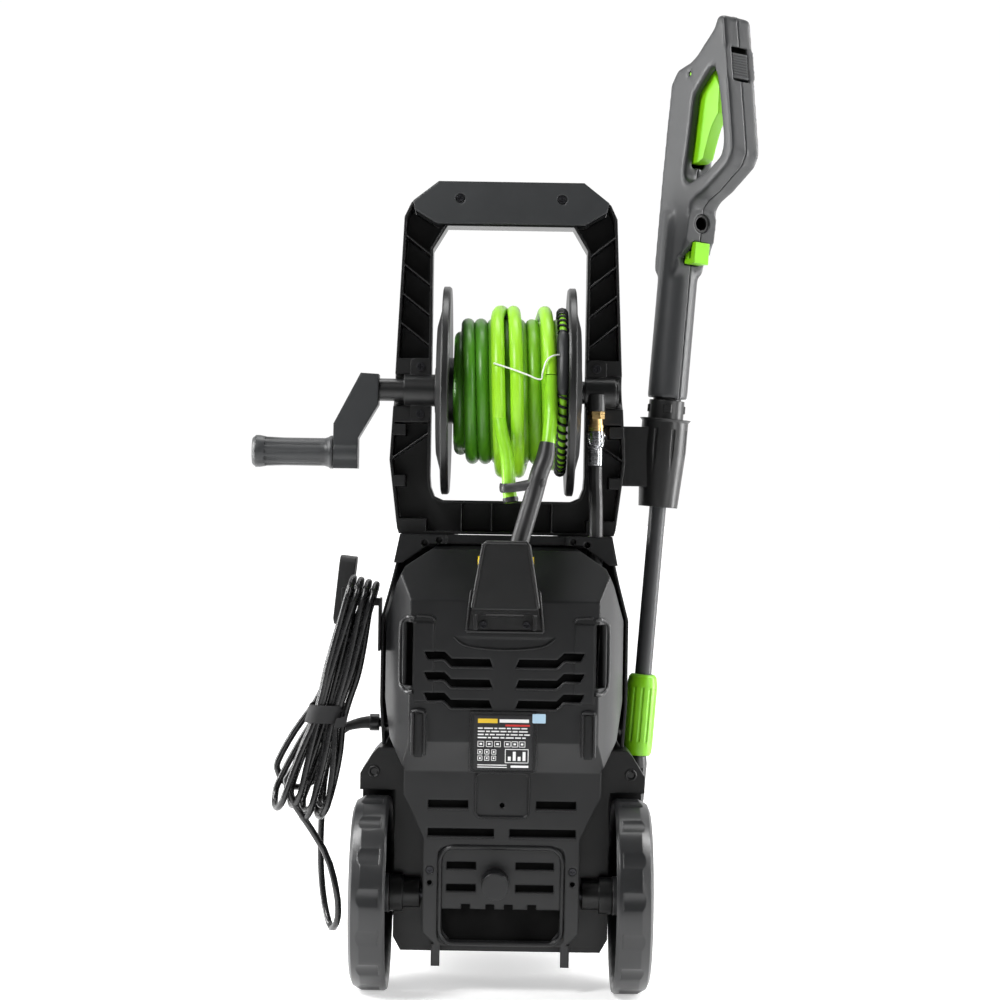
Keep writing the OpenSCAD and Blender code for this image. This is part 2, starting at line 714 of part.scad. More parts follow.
module crank_grip() color("#4a4d50") {
    far = -hw - 54.5;
    translate([far, reel_y, reel_z - crank_throw]) rotate([0, -90, 0]) difference() {
        rotate_extrude() polygon([
            [0, 0], [17.5, 0], [17.5, 3], [16, 5], [14.8, 9], [14.8, 52], [15.6, 70], [17, 78],
            [17, 82], [14, 85.5], [0, 85.5]
        ]);
        translate([0, 0, -1]) cylinder(h = 84, r = 5 + running);
        for (i = [0:11]) rotate([0, 0, i * 30]) translate([16.8, 0, 12]) cylinder(h = 60, r = 2.6, $fn = 16);
    }
}

module swivel_inlet() color("#232527") {
    difference() {
        union() {
            cap_body(cap_in + 3, cap_out + 3, 12);
            translate([0, reel_y, reel_z]) xcyl(cap_out + 2, cap_out + 6, 14);
            translate([screw_x, nipple_y, reel_z - 20]) cylinder(h = 18, r = 9.5);
        }
        translate([0, reel_y, reel_z]) xcyl(cap_in, cap_out + 2, shaft_r + running);
        translate([screw_x, nipple_y, reel_z - 21]) cylinder(h = 12, r = 4);
    }
}

module brass_nipple() color("#c8a45a") {
    translate([screw_x, nipple_y, reel_z - 20 - seat]) mirror([0, 0, 1]) difference() {
        union() {
            cylinder(h = 8, r = 9, $fn = 6);
            translate([0, 0, 7.9]) cylinder(h = 6, r = 7);
            translate([0, 0, 13.8]) cylinder(h = 8, r = 8);
            translate([0, 0, 21.7]) cylinder(h = 10, r = 5);
        }
        translate([0, 0, -1]) cylinder(h = 40, r = 3);
    }
}

module quick_coupling() color("#b9bcbf") {
    top = reel_z - 43;
    translate([screw_x, nipple_y, top - 34]) {
        difference() {
            union() {
                cylinder(h = 34, r = 8);
                translate([0, 0, 22]) cylinder(h = 10, r = 9.2);
            }
            translate([0, 0, 22]) cylinder(h = 13, r = 5 + seat);
            translate([0, 0, -1]) cylinder(h = 40, r = 3);
        }
        for (side = [-1, 1]) translate([side * 9, -4, 12]) cylinder(h = 24, r = 0.9);
        translate([0, -4, 12]) rotate([90, 0, 0]) rotate([0, 0, 180])
            rotate_extrude(angle = 180) translate([9, 0]) circle(0.9);
    }
}

// Points a fraction of the way along a smooth curve through a route
function spline_at(p, i, t) = let (
    n = len(p), a = p[max(i - 1, 0)], b = p[i], c = p[min(i + 1, n - 1)], d = p[min(i + 2, n - 1)]
) 0.5 * (2 * b + (c - a) * t + (2 * a - 5 * b + 4 * c - d) * t * t + (3 * b - a - 3 * c + d) * t * t * t);
function smooth(p, steps) = concat(
    [for (i = [0:len(p) - 2]) for (k = [0:steps - 1]) spline_at(p, i, k / steps)], [p[len(p) - 1]]
);
function unit(v) = v / norm(v);
function heading(c, i) = unit(c[min(i + 1, len(c) - 1)] - c[max(i - 1, 0)]);
// A direction square to each heading, carried along the curve without twisting
function carry(c, i, side) = i == len(c) ? [] : let (
    h = heading(c, i), s = unit(side - (side * h) * h)
) concat([s], carry(c, i + 1, s));

// A tube of round section swept along a route
module tube(route, r, sides = 10, steps = 1) {
    c = smooth(route, steps);
    n = len(c);
    first = heading(c, 0);
    s = carry(c, 0, abs(first[1]) < 0.9 ? [0, 1, 0] : [1, 0, 0]);
    polyhedron(
        points = [for (i = [0:n - 1]) let (h = heading(c, i), b = cross(h, s[i]))
            for (k = [0:sides - 1]) c[i] + r * (cos(k * 360 / sides) * s[i] + sin(k * 360 / sides) * b)],
        faces = concat(
            [[for (k = [0:sides - 1]) k]],
            [for (i = [0:n - 2]) for (k = [0:sides - 1]) let (j = (k + 1) % sides)
                [i * sides + k, (i + 1) * sides + k, (i + 1) * sides + j, i * sides + j]],
            [[for (k = [sides - 1:-1:0]) (n - 1) * sides + k]]
        )
    );
}

module jumper_hose() color("#18191a") tube(jumper_route, 7.5, 12, 3);

module hose_tail() color("#86cc25") tube(tail_route, hose_d / 2, 12, 2);

module hose_boots() color("#161718") {
    tube(boot_route, hose_d / 2 + 2.5, 12, 2);
    tube(second_boot_route, hose_d / 2 + 2.5, 12, 2);
}

module on_gun() {
    translate([gun_tip_x, gun_y, gun_tip_z]) rotate([0, gun_lean, 0]) children();
}

// A flat outline in the gun's own plane, u towards the grip and s up along the lance
module gun_slab(w0, w1) {
    on_gun() rotate([0, 0, -gun_turn]) translate([0, w1, 0]) rotate([90, 0, 0])
        linear_extrude(w1 - w0) children();
}

module gun_holster() color("#202224") {
    out = lance_cup_r;
    difference() {
        union() {
            on_gun() translate([0, 0, cup_z0]) rotate_extrude() polygon([
                [0, 0], [21, 0], [out, 60], [out, 92], [out + 2.5, cup_z1 - cup_z0],
                [0, cup_z1 - cup_z0]
            ]);
            xz(gun_y - 17, gun_y + 17) polygon([
                [hw - 12, deck_z + 54], [hw - 12, deck_z + 118], [hw + 26, deck_z + 118],
                [hw + 26, deck_z + 54]
            ]);
        }
        on_gun() {
            translate([0, 0, cup_z0 - 1]) cylinder(h = 200, r = sleeve_r + gap);
            translate([0, 0, cup_z1 - 22]) cylinder(h = 40, r = collar_r + gap);
            for (a = [0:45:315]) rotate([0, 0, a + 20]) translate([out + 0.6, 0, cup_z0 + 12])
                cylinder(h = 72, r = 2, $fn = 16);
        }
        xz(handle_y - 1, 1) polygon([for (p = handle_outer(-seat)) p]);
    }
}

// The grip's outline: a closed loop for the hand behind the trigger
module gun_outline(w) {
    offset(delta = -w) rounded(7) polygon([
        [-21, barrel_s1 - 6], [-21, 690], [-19, 784], [-9, 799], [13, 805], [23, 811], [50, 837],
        [55, 850], [60, 856], [66, 848], [99, 716], [102, 702], [96, 689], [62, 665],
        [44, 656], [36, 648], [35, 608], [29, 600], [22, 596], [21, barrel_s1 - 6]
    ]);
}
module hand_hole(w) {
    offset(delta = w) rounded(8) polygon([
        [19, 680], [28, 673], [60, 685], [82, 700], [84, 714], [72, 758], [60, 793], [54, 798],
        [46, 792], [25, 769], [22, 720]
    ]);
}

module gun_half() {
    difference() {
        union() {
            gun_slab(0.05, 18.5) difference() {
                gun_outline(0);
                hand_hole(0);
            }
            on_gun() rotate([0, 0, -gun_turn]) difference() {
                translate([0, 0, barrel_s0]) {
                    cylinder(h = barrel_s1 - barrel_s0, r = 21.5);
                    translate([0, 0, barrel_s1 - barrel_s0 - 0.01]) cylinder(h = 60, r = 21.5);
                }
                translate([-50, -50, 0]) cube([100, 50.05, 900]);
            }
        }
        gun_slab(-1, 15.5) difference() {
            gun_outline(3);
            hand_hole(3);
        }
        gun_slab(-1, trigger_w / 2 + gap) polygon([
            [4, 695], [34, 690], [34, 764], [58, 790], [52, 804], [4, 802]
        ]);
        on_gun() translate([0, 0, barrel_s0 - 1]) cylinder(h = 150, r = 18.5);
        gun_slab(-1, 10) rect(19, 37, 588, 612);
        gun_slab(-1, 10) rect(20, 30, 590, 626);
        on_gun() rotate([0, 0, -gun_turn]) translate([0, 0, inlet_s]) rotate([0, 90, 0])
            cylinder(h = 60, r = 10 + seat);
        lock_place() translate([-4, -lock_w / 2 - gap, -20]) cube([12, lock_w + 2 * gap, 38]);
        gun_slab(-20, 20) translate(trigger_pin) circle(2 + seat);
    }
}

module gun_shell_left() color("#3f4245") gun_half();

module gun_shell_right() color("#3f4245") on_gun() rotate([0, 0, -gun_turn]) mirror([0, 1, 0])
    rotate([0, 0, gun_turn]) rotate([0, -gun_lean, 0]) translate(-[gun_tip_x, gun_y, gun_tip_z]) gun_half();

module gun_valve() color("#9a9da0") on_gun() rotate([0, 0, -gun_turn]) {
    difference() {
        union() {
            translate([0, 0, lance_top + seat]) cylinder(h = 100, r = 9);
            translate([0, 0, inlet_s]) rotate([0, 90, 0]) cylinder(h = 34, r = 10);
            translate([-9, -8, inlet_s + 12]) cube([15, 16, 36]);
        }
        translate([0, 0, lance_top - 1]) cylinder(h = 70, r = 3.5);
        translate([0, 0, inlet_s]) rotate([0, 90, 0]) cylinder(h = 12, r = 3.5);
        translate([0, 0, inlet_s]) translate([12, 0, 0]) rotate([0, 90, 0]) cylinder(h = 30, r = 7);
    }
}

module gun_trigger() color("#8fd41f") {
    difference() {
        gun_slab(-trigger_w / 2, trigger_w / 2) difference() {
            polygon([
                [8, 790], [10, 798], [20, 800], [42, 794], [54, 776], [56, 748], [46, 734], [40, 716],
                [36, 701], [28, 697], [9, 697], [7, 720], [6, 760]
            ]);
            translate(trigger_pin) circle(2 + running);
        }
    }
    gun_slab(-16.5, 16.5) translate(trigger_pin) circle(2);
}

// Where the lock slides, on the back of the grip, with its own z along the grip
module lock_place() {
    on_gun() rotate([0, 0, -gun_turn]) translate([74.7, 0, 798]) rotate([0, -14, 0]) children();
}

module trigger_lock() color("#1c1e1f") lock_place() difference() {
    translate([-3, -lock_w / 2, -17]) cube([6.5, lock_w, 28]);
    for (z = [-14:3:8]) translate([2.5, -lock_w / 2 - 1, z]) cube([2, lock_w + 2, 1.2]);
}

module hose_release() color("#8fd41f") {
    gun_slab(-9.4, 9.4) polygon([
        [22.6, 588.6], [40, 588.6], [40, 611.4], [33, 611.4], [33, 594], [29, 594], [29, 602], [22.6, 602]
    ]);
}

module lance_tube() color("#2a2c2e") on_gun() difference() {
    translate([0, 0, 50]) cylinder(h = lance_top - 50, r = lance_r);
    cylinder(h = 900, r = 3.5);
}

module lance_collar() color("#161718") on_gun() difference() {
    union() {
        translate([0, 0, cup_z1 - 22 + seat]) cylinder(h = barrel_s0 - cup_z1 + 21, r = collar_r);
        translate([0, 0, barrel_s0 - 4]) cylinder(h = 24, r = 15);
        for (a = [0:90:270]) rotate([0, 0, a]) translate([collar_r - 3, -4, barrel_s0 - 14])
            cube([4.2, 8, 8]);
    }
    translate([0, 0, 300]) cylinder(h = 300, r = lance_r + seat);
}

module nozzle_sleeve() color("#86cc25") on_gun() difference() {
    rotate_extrude() polygon([
        [lance_r + running, 59], [14.5, 59], [16, 62], [sleeve_r, 70], [sleeve_r, 134], [15, 143],
        [12.5, 146], [lance_r + running, 146]
    ]);
    for (a = [0:30:330]) rotate([0, 0, a]) translate([sleeve_r + 1.1, 0, 74])
        cylinder(h = 58, r = 2, $fn = 16);
}

module nozzle_tip() color("#18191a") on_gun() difference() {
    rotate_extrude() polygon([
        [0, 0], [9, 0], [11.5, 3], [12.5, 12], [12.5, 50], [11, 58.8], [lance_r + running, 58.8],
        [lance_r + running, 49], [0, 49]
    ]);
    translate([0, 0, -1]) cylinder(h = 60, r = 1.5);
    translate([0, 0, -1]) cylinder(h = 9, r = 6);
    for (a = [0:60:300]) rotate([0, 0, a]) translate([13.4, 0, 20]) cylinder(h = 26, r = 2.2, $fn = 16);
}

module motor() color("#8b8e91") translate([0, motor_y, motor_z]) {
    difference() {
        union() {
            cylinder(h = motor_h, r = motor_r);
            translate([0, 0, motor_h - 0.01]) cylinder(h = 12, r = 18);
            for (side = [-1, 1]) translate([side * 24 - 6, -20, motor_h - 30]) cube([12, 40, 30]);
        }
        translate([0, 0, 8]) cylinder(h = motor_h - 14, r = motor_r - 3);
        translate([0, 0, -1]) cylinder(h = motor_h + 20, r = 5 + running);
    }
    difference() {
        translate([0, 0, 40]) cylinder(h = 60, r = motor_r - 2);
        translate([0, 0, 39]) cylinder(h = 62, r = 33);
    }
}

module armature() color("#b06a35") translate([0, motor_y, 0]) {
    translate([0, 0, gear_z - 6]) cylinder(h = motor_z + motor_h + 8 - gear_z + 6, r = 5);
    translate([0, 0, motor_z + 42]) cylinder(h = 56, r = 31.5);
    translate([0, 0, motor_z + 104]) cylinder(h = 14, r = 15);
    pinion_z0 = gear_z - 5;
    translate([0, 0, pinion_z0]) linear_extrude(12) gear_outline(pinion_teeth, 0);
}

module motor_fan() color("#2b3b33") translate([0, motor_y, motor_z + 14]) difference() {
    union() {
        cylinder(h = 3, r = 44);
        cylinder(h = 16, r = 12);
        for (a = [0:30:330]) rotate([0, 0, a]) translate([14, -0.8, 2.9]) cube([29, 1.6, 12]);
    }
    translate([0, 0, -1]) cylinder(h = 30, r = 5 + seat);
}

// Spur gear outline of straight-flanked teeth, with one tooth on +X at turn 0
module gear_outline(teeth, turn) {
    pitch_r = tooth_module * teeth / 2;
    tip = pitch_r + tooth_module * 0.9;
    root = pitch_r - tooth_module * 1.2;
    part = 360 / teeth;
    rotate(turn) polygon([for (i = [0:teeth - 1]) for (k = [
        [root, -0.32], [pitch_r, -0.225], [tip, -0.11], [tip, 0.11], [pitch_r, 0.225], [root, 0.32]
    ]) k[0] * [cos((i + k[1]) * part), sin((i + k[1]) * part)]]);
}

module drive_gear() color("#b9bcbf") translate([0, gear_y, 0]) {
    turn = 90 + 180 / gear_teeth;
    difference() {
        union() {
            translate([0, 0, gear_z - 4]) linear_extrude(10) gear_outline(gear_teeth, turn);
            translate([0, 0, gear_z - 30]) cylinder(h = 59, r = 7);
            difference() {
                translate([0, 0, gear_z - 30]) cylinder(h = 22, r = 24);
                translate([0, 0, gear_z - 30]) rotate([8, 0, 0]) translate([-40, -40, -30])
                    cube([80, 80, 30]);
            }
        }
    }
}

module gear_case() color("#a3a6a9") {
    z0 = gear_z - 42;
    difference() {
        union() {
            block(-42, 42, gear_y - 38, motor_y + 26, z0, motor_z - 8);
            translate([0, motor_y, motor_z - 8.1]) cylinder(h = 8, r = 20);
        }
        block(-36, 36, gear_y - 33, motor_y + 20, z0 - 1, motor_z - 14);
        translate([0, motor_y, z0]) cylinder(h = 90, r = 5 + running);
        translate([0, gear_y, gear_z]) cylinder(h = 40, r = 7 + running);
    }
}

module pump() color("#c6c9cc") {
    top = gear_z - 42.2;
    difference() {
        union() {
            translate([0, gear_y, pump_z]) cylinder(h = top - pump_z, r = 34);
            block(-42, 42, gear_y - 38, motor_y + 26, top - 10, top);
            translate([0, 0, pump_z + 14]) ycyl(gear_y, body_front + 22, 13);
            translate([0, 0, pump_z + 14]) ycyl(body_front + 21, body_front + 40, 10);
            translate([0, gear_y, pump_z + 14]) xcyl(0, 52, 9);
        }
        for (a = [0:120:240]) translate([0, gear_y, 0]) rotate([0, 0, a + 30])
            translate([17, 0, pump_z + 24]) cylinder(h = 90, r = 5 + running);
        translate([0, gear_y, top - 12]) cylinder(h = 20, r = 24);
        translate([0, 0, pump_z + 14]) ycyl(20, body_front + 41, 6);
        translate([0, gear_y, pump_z + 14]) xcyl(20, 53, 4);
    }
}

module pistons() color("#d8dadc") {
    for (a = [0:120:240]) translate([0, gear_y, 0]) rotate([0, 0, a + 30])
        translate([17, 0, pump_z + 26]) {
            cylinder(h = gear_z - 34 - pump_z - 26, r = 5);
            translate([0, 0, gear_z - 36 - pump_z - 26]) cylinder(h = 2, r = 6.5);
        }
}

module switch_knob() color("#8fd41f") translate([0, 0, knob_z]) difference() {
    union() {
        ycyl(body_front - 36, body_front - 10, 4);
        ycyl(body_front - 11, body_front + 1, 12);
        ycyl(body_front + 0.5, body_front + 12, 26);
        block(-5, 5, body_front + 11, body_front + 24, -23, 23);
    }
    for (a = [0:30:330]) rotate([0, a, 0]) translate([27.5, 0, 0]) ycyl(body_front, body_front + 13, 3);
}

module switch_box() color("#222426") translate([0, 0, knob_z]) difference() {
    block(-32, 32, body_front - 56, body_front - 11.1, -28, 28);
    ycyl(body_front - 40, body_front - 10, 4 + running);
}

module cord_lead() color("#141516") {
    tube(lead_route, cord_d / 2, 8, 3);
    tube(plug_route, cord_d / 2, 8, 3);
}

module on_hank() {
    translate(hank_top) rotate([0, hank_lean, 0]) children();
}

module cord_hank() color("#141516") {
    on_hank() difference() {
        union() {
            translate([-hank_w / 2, 0, 0]) rotate([90, 0, 90]) linear_extrude(hank_w) {
                circle(24, $fn = 32);
                translate([-24, -hank_l]) square([48, hank_l]);
            }
            translate([-hank_foot / 2, 0, 0]) rotate([90, 0, 90]) linear_extrude(hank_foot) {
                translate([-24, -hank_l]) square([48, hank_l - 130]);
                translate([0, -hank_l]) circle(24, $fn = 32);
            }
        }
        translate([-hank_w, -8, -26]) cube([hank_w * 2, 16, 36]);
    }
}

module power_plug() color("#191a1b") translate(plug_place) rotate([0, plug_lean, 0]) {
    translate([-9.5, -19, plug_tail - plug_long / 2]) cube([19, 38, plug_long - plug_tail]);
    for (dy = [-9.5, 9.5]) translate([0, dy, 0]) xcyl(9, 27, 2.4);
    translate([0, 0, -plug_long / 2]) cylinder(h = plug_tail + 0.1, r = 6);
}

chassis();
front_feet();
rear_cover();
front_cover();
front_panel();
top_deck();
cover_screws();
rating_plate();
yellow_label();
tow_stub();
hose_hook();
hook_screws();
cable_hook();
cord_gland();
axle();
wheel_left();
wheel_right();
hub_cap_left();
hub_cap_right();
handle_frame();
grip_rear();
grip_front();
grip_screws();
reel_cap();
cap_screws();
reel_drum();
reel_flange_left();
reel_flange_right();
hose_wound();
crank_arm();
crank_grip();
swivel_inlet();
brass_nipple();
quick_coupling();
jumper_hose();
hose_tail();
hose_boots();
gun_holster();
gun_shell_left();
gun_shell_right();
gun_valve();
gun_trigger();
trigger_lock();
hose_release();
lance_tube();
lance_collar();
nozzle_sleeve();
nozzle_tip();
motor();
armature();
motor_fan();
drive_gear();
gear_case();
pump();
pistons();
switch_knob();
switch_box();
cord_lead();
cord_hank();
power_plug();
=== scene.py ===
import json
import math

import bmesh
import bpy
from mathutils import Matrix, Vector


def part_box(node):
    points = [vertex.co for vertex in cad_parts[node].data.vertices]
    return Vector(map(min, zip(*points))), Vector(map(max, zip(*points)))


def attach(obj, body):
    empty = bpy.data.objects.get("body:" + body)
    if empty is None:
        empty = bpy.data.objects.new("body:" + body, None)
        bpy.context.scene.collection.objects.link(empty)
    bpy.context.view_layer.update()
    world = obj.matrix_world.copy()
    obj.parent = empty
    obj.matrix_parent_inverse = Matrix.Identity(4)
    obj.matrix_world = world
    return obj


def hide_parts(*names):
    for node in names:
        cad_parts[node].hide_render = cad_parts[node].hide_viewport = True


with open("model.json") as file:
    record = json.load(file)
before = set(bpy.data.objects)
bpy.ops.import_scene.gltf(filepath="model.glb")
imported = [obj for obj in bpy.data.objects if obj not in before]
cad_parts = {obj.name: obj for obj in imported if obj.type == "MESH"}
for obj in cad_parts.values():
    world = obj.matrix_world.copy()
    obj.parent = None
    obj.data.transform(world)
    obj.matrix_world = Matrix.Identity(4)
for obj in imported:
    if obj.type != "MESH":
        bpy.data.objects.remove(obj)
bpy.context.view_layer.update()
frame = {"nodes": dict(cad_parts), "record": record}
nodes = frame["nodes"]
body_of_node = {n: b for b, ns in frame["record"]["behaviour"]["bodies"].items() for n in ns}
MM = 0.001
REEL_Y, REEL_Z = -0.040, 0.624


# ---------------------------------------------------------------- camera

SENSOR_MM, LENS_MM = 36, 84.7
CAMERA_PLACE = (-0.0071, -2.535, 0.509)
CAMERA_ROLL = -0.0157


def set_camera():
    """A level camera on the operator's side."""
    camera = bpy.data.objects.new("camera", bpy.data.cameras.new("camera"))
    bpy.context.scene.collection.objects.link(camera)
    camera.data.sensor_width = SENSOR_MM
    camera.data.lens = LENS_MM
    camera.location = CAMERA_PLACE
    camera.rotation_euler = (math.radians(90), CAMERA_ROLL, 0)
    camera.data.clip_start, camera.data.clip_end = 0.05, 50
    bpy.context.scene.camera = camera


set_camera()


# ---------------------------------------------------------------- materials

def shader(name, colour, roughness, metallic=0.0, specular=0.5):
    material = bpy.data.materials.new(name)
    material.use_nodes = True
    tree = material.node_tree
    surface = tree.nodes["Principled BSDF"]
    surface.inputs["Base Color"].default_value = (*colour, 1)
    surface.inputs["Roughness"].default_value = roughness
    surface.inputs["Metallic"].default_value = metallic
    surface.inputs["Specular IOR Level"].default_value = specular
    return material, tree, surface


def node(tree, kind, **values):
    made = tree.nodes.new(kind)
    for key, value in values.items():
        if key in made.inputs:
            made.inputs[key].default_value = value
        else:
            setattr(made, key, value)
    return made


def noise(tree, where, scale, detail=2.0, roughness=0.5):
    made = node(tree, "ShaderNodeTexNoise")
    made.inputs["Scale"].default_value = scale
    made.inputs["Detail"].default_value = detail
    made.inputs["Roughness"].default_value = roughness
    tree.links.new(where, made.inputs["Vector"])
    return made.outputs["Fac"]


def spread(tree, value, low, high, start=0.3, end=0.7):
    made = node(tree, "ShaderNodeMapRange")
    made.inputs["From Min"].default_value = start
    made.inputs["From Max"].default_value = end
    made.inputs["To Min"].default_value = low
    made.inputs["To Max"].default_value = high
    tree.links.new(value, made.inputs["Value"])
    return made.outputs["Result"]


def blend_colours(tree, amount, first, second):
    made = node(tree, "ShaderNodeMix", data_type="RGBA")
    for socket, value in ((made.inputs[6], first), (made.inputs[7], second)):
        if isinstance(value, tuple):
            socket.default_value = (*value, 1)
        else:
            tree.links.new(value, socket)
    if isinstance(amount, float):
        made.inputs[0].default_value = amount
    else:
        tree.links.new(amount, made.inputs[0])
    return made.outputs[2]


def raise_surface(tree, surface, layers, edge=0.0):
    """Bump from a list of (height, strength, distance), over edges rounded by edge."""
    normal = None
    if edge:
        rounding = node(tree, "ShaderNodeBevel", samples=4)
        rounding.inputs["Radius"].default_value = edge
        normal = rounding.outputs["Normal"]
    for height, strength, distance in layers:
        bump = node(tree, "ShaderNodeBump")
        bump.inputs["Strength"].default_value = strength
        bump.inputs["Distance"].default_value = distance
        tree.links.new(height, bump.inputs["Height"])
        if normal:
            tree.links.new(normal, bump.inputs["Normal"])
        normal = bump.outputs["Normal"]
    tree.links.new(normal, surface.inputs["Normal"])


def moulded_plastic(name, colour, roughness, grain=1400, depth=0.00012, cloud=0.25, specular=0.5,
                    edge=0.0018):
    """Injection-moulded plastic: a fine spark-eroded grain, soft cloudiness and handling marks."""
    material, tree, surface = shader(name, colour, roughness, specular=specular)
    place = node(tree, "ShaderNodeTexCoord").outputs["Object"]
    fine = noise(tree, place, grain, 3, 0.6)
    broad = noise(tree, place, 9, 4, 0.6)
    marks = noise(tree, place, 55, 6, 0.7)
    lighter = tuple(min(1, c * (1 + cloud) + 0.004) for c in colour)
    darker = tuple(c * (1 - cloud * 0.5) for c in colour)
    tree.links.new(
        blend_colours(tree, spread(tree, broad, 0, 1), darker, lighter), surface.inputs["Base Color"]
    )
    tree.links.new(
        spread(tree, marks, roughness - 0.01, roughness + 0.03), surface.inputs["Roughness"]
    )
    raise_surface(tree, surface, [(fine, 0.35, depth)], edge=edge)
    return material


def smooth_rubber(name, colour, roughness, specular=0.5):
    """Rubber or soft plastic: faint patches of colour and a shallow skin, without a grain."""
    material, tree, surface = shader(name, colour, roughness, specular=specular)
    place = node(tree, "ShaderNodeTexCoord").outputs["Object"]
    patch = noise(tree, place, 30, 5, 0.65)
    tree.links.new(
        blend_colours(tree, spread(tree, patch, 0, 1), tuple(c * 0.85 for c in colour),
                      tuple(min(1, c * 1.12) for c in colour)), surface.inputs["Base Color"]
    )
    tree.links.new(
        spread(tree, noise(tree, place, 160, 4), roughness - 0.05, roughness + 0.08),
        surface.inputs["Roughness"],
    )
    raise_surface(tree, surface, [(noise(tree, place, 420, 3), 0.25, 0.0001)])
    return material


def turned_metal(name, colour, roughness, scratch=900, depth=0.00005):
    """Metal with fine lines round its upright axis, and a little tarnish."""
    material, tree, surface = shader(name, colour, roughness, metallic=1.0)
    place = node(tree, "ShaderNodeTexCoord").outputs["Object"]
    stretched = node(tree, "ShaderNodeMapping")
    stretched.inputs["Scale"].default_value = (0.05, 0.05, 1)
    tree.links.new(place, stretched.inputs["Vector"])
    lines = noise(tree, stretched.outputs["Vector"], scratch, 4)
    tree.links.new(spread(tree, lines, roughness - 0.08, roughness + 0.12), surface.inputs["Roughness"])
    tarnish = noise(tree, place, 70, 5)
    tree.links.new(
        blend_colours(tree, spread(tree, tarnish, 0, 1), colour, tuple(c * 0.75 for c in colour)),
        surface.inputs["Base Color"],
    )
    raise_surface(tree, surface, [(lines, 0.2, depth)], edge=0.0004)
    return material


body_plastic = moulded_plastic("body_plastic", (0.0048, 0.005, 0.0055), 0.3, cloud=0.18, specular=0.42,
                               edge=0.003)
black_plastic = moulded_plastic("black_plastic", (0.0035, 0.0036, 0.0038), 0.34, cloud=0.3)
grey_plastic = moulded_plastic("grey_plastic", (0.024, 0.0255, 0.027), 0.38, cloud=0.15, edge=0.003)
gun_plastic = moulded_plastic("gun_plastic", (0.0195, 0.0205, 0.0218), 0.4, cloud=0.15, edge=0.0008)
wheel_plastic = moulded_plastic("wheel_plastic", (0.013, 0.0134, 0.0142), 0.3, grain=900, cloud=0.2)
# painted shade: a near-black matte finish for the sheets that stand in for the shade inside the openings
shade_black = moulded_plastic("shade_black", (0.0008, 0.0008, 0.0008), 0.8, specular=0.1, cloud=0.1)
chassis_plastic = moulded_plastic("chassis_plastic", (0.0022, 0.0023, 0.0024), 0.33, cloud=0.25,
                                  specular=0.35)
green_plastic = moulded_plastic("green_plastic", (0.18, 0.5, 0.003), 0.33, cloud=0.12)
hose_skin = smooth_rubber("hose_skin", (0.25, 0.6, 0.02), 0.34)
black_rubber = smooth_rubber("black_rubber", (0.006, 0.006, 0.0065), 0.42)


def wound_skin_painted_shade():
    """The hose's green with painted shade and light: darker on the turns that lie under the last ones and on
    the left, lighter on the raised turns and towards the right.
    """
    material, tree, surface = shader("wound_skin_painted_shade", (0.25, 0.6, 0.02), 0.34)
    place = node(tree, "ShaderNodeTexCoord").outputs["Object"]
    shifted = node(tree, "ShaderNodeMapping")
    shifted.inputs["Location"].default_value = (0, -REEL_Y, -REEL_Z)
    tree.links.new(place, shifted.inputs["Vector"])
    flat = node(tree, "ShaderNodeMapping")
    flat.inputs["Scale"].default_value = (0, 1, 1)
    tree.links.new(shifted.outputs["Vector"], flat.inputs["Vector"])
    reach = node(tree, "ShaderNodeVectorMath", operation="LENGTH")
    tree.links.new(flat.outputs["Vector"], reach.inputs[0])
    # painted light: the raised outer turns are given a lighter green, as if lit
    raised = spread(tree, reach.outputs["Value"], 0, 1, start=0.0768, end=0.0835)
    across = node(tree, "ShaderNodeSeparateXYZ")
    tree.links.new(place, across.inputs[0])
    # painted light: the green lightens towards the right, the side the light falls from
    right = spread(tree, across.outputs["X"], 0, 0.75, start=-0.03, end=0.05)
    lit_share = node(tree, "ShaderNodeMath", operation="MAXIMUM")
    tree.links.new(raised, lit_share.inputs[0])
    tree.links.new(right, lit_share.inputs[1])
    patch = noise(tree, place, 24, 4, 0.6)
    # painted shade: a darker green for the lower turns and the left side, where shade falls; the noise only
    # varies its tone at random
    deep = blend_colours(tree, spread(tree, patch, 0, 1), (0.045, 0.19, 0.008), (0.065, 0.25, 0.01))
    tree.links.new(blend_colours(tree, lit_share.outputs[0], deep, (0.3, 0.66, 0.02)),
                   surface.inputs["Base Color"])
    tree.links.new(spread(tree, noise(tree, place, 160, 4), 0.3, 0.44), surface.inputs["Roughness"])
    raise_surface(tree, surface, [(noise(tree, place, 420, 3), 0.2, 0.0001)])
    return material


cord_skin = smooth_rubber("cord_skin", (0.0075, 0.0075, 0.008), 0.24, specular=0.6)
screw_metal = turned_metal("screw_metal", (0.05, 0.05, 0.055), 0.35)
bright_steel = turned_metal("bright_steel", (0.62, 0.63, 0.65), 0.2, depth=0.000008)
brass_metal = turned_metal("brass_metal", (0.68, 0.47, 0.2), 0.3)
cast_metal = turned_metal("cast_metal", (0.5, 0.51, 0.52), 0.5, scratch=300)
motor_steel = turned_metal("motor_steel", (0.03, 0.031, 0.033), 0.5)
copper_wire = turned_metal("copper_wire", (0.6, 0.28, 0.12), 0.35)
lance_paint = moulded_plastic("lance_paint", (0.026, 0.027, 0.029), 0.4, grain=2400, depth=0.00006)
yellow_film = moulded_plastic("yellow_film", (0.78, 0.55, 0.0), 0.3, depth=0.00002)
label_film = moulded_plastic("label_film", (0.009, 0.009, 0.01), 0.3, depth=0.00002)

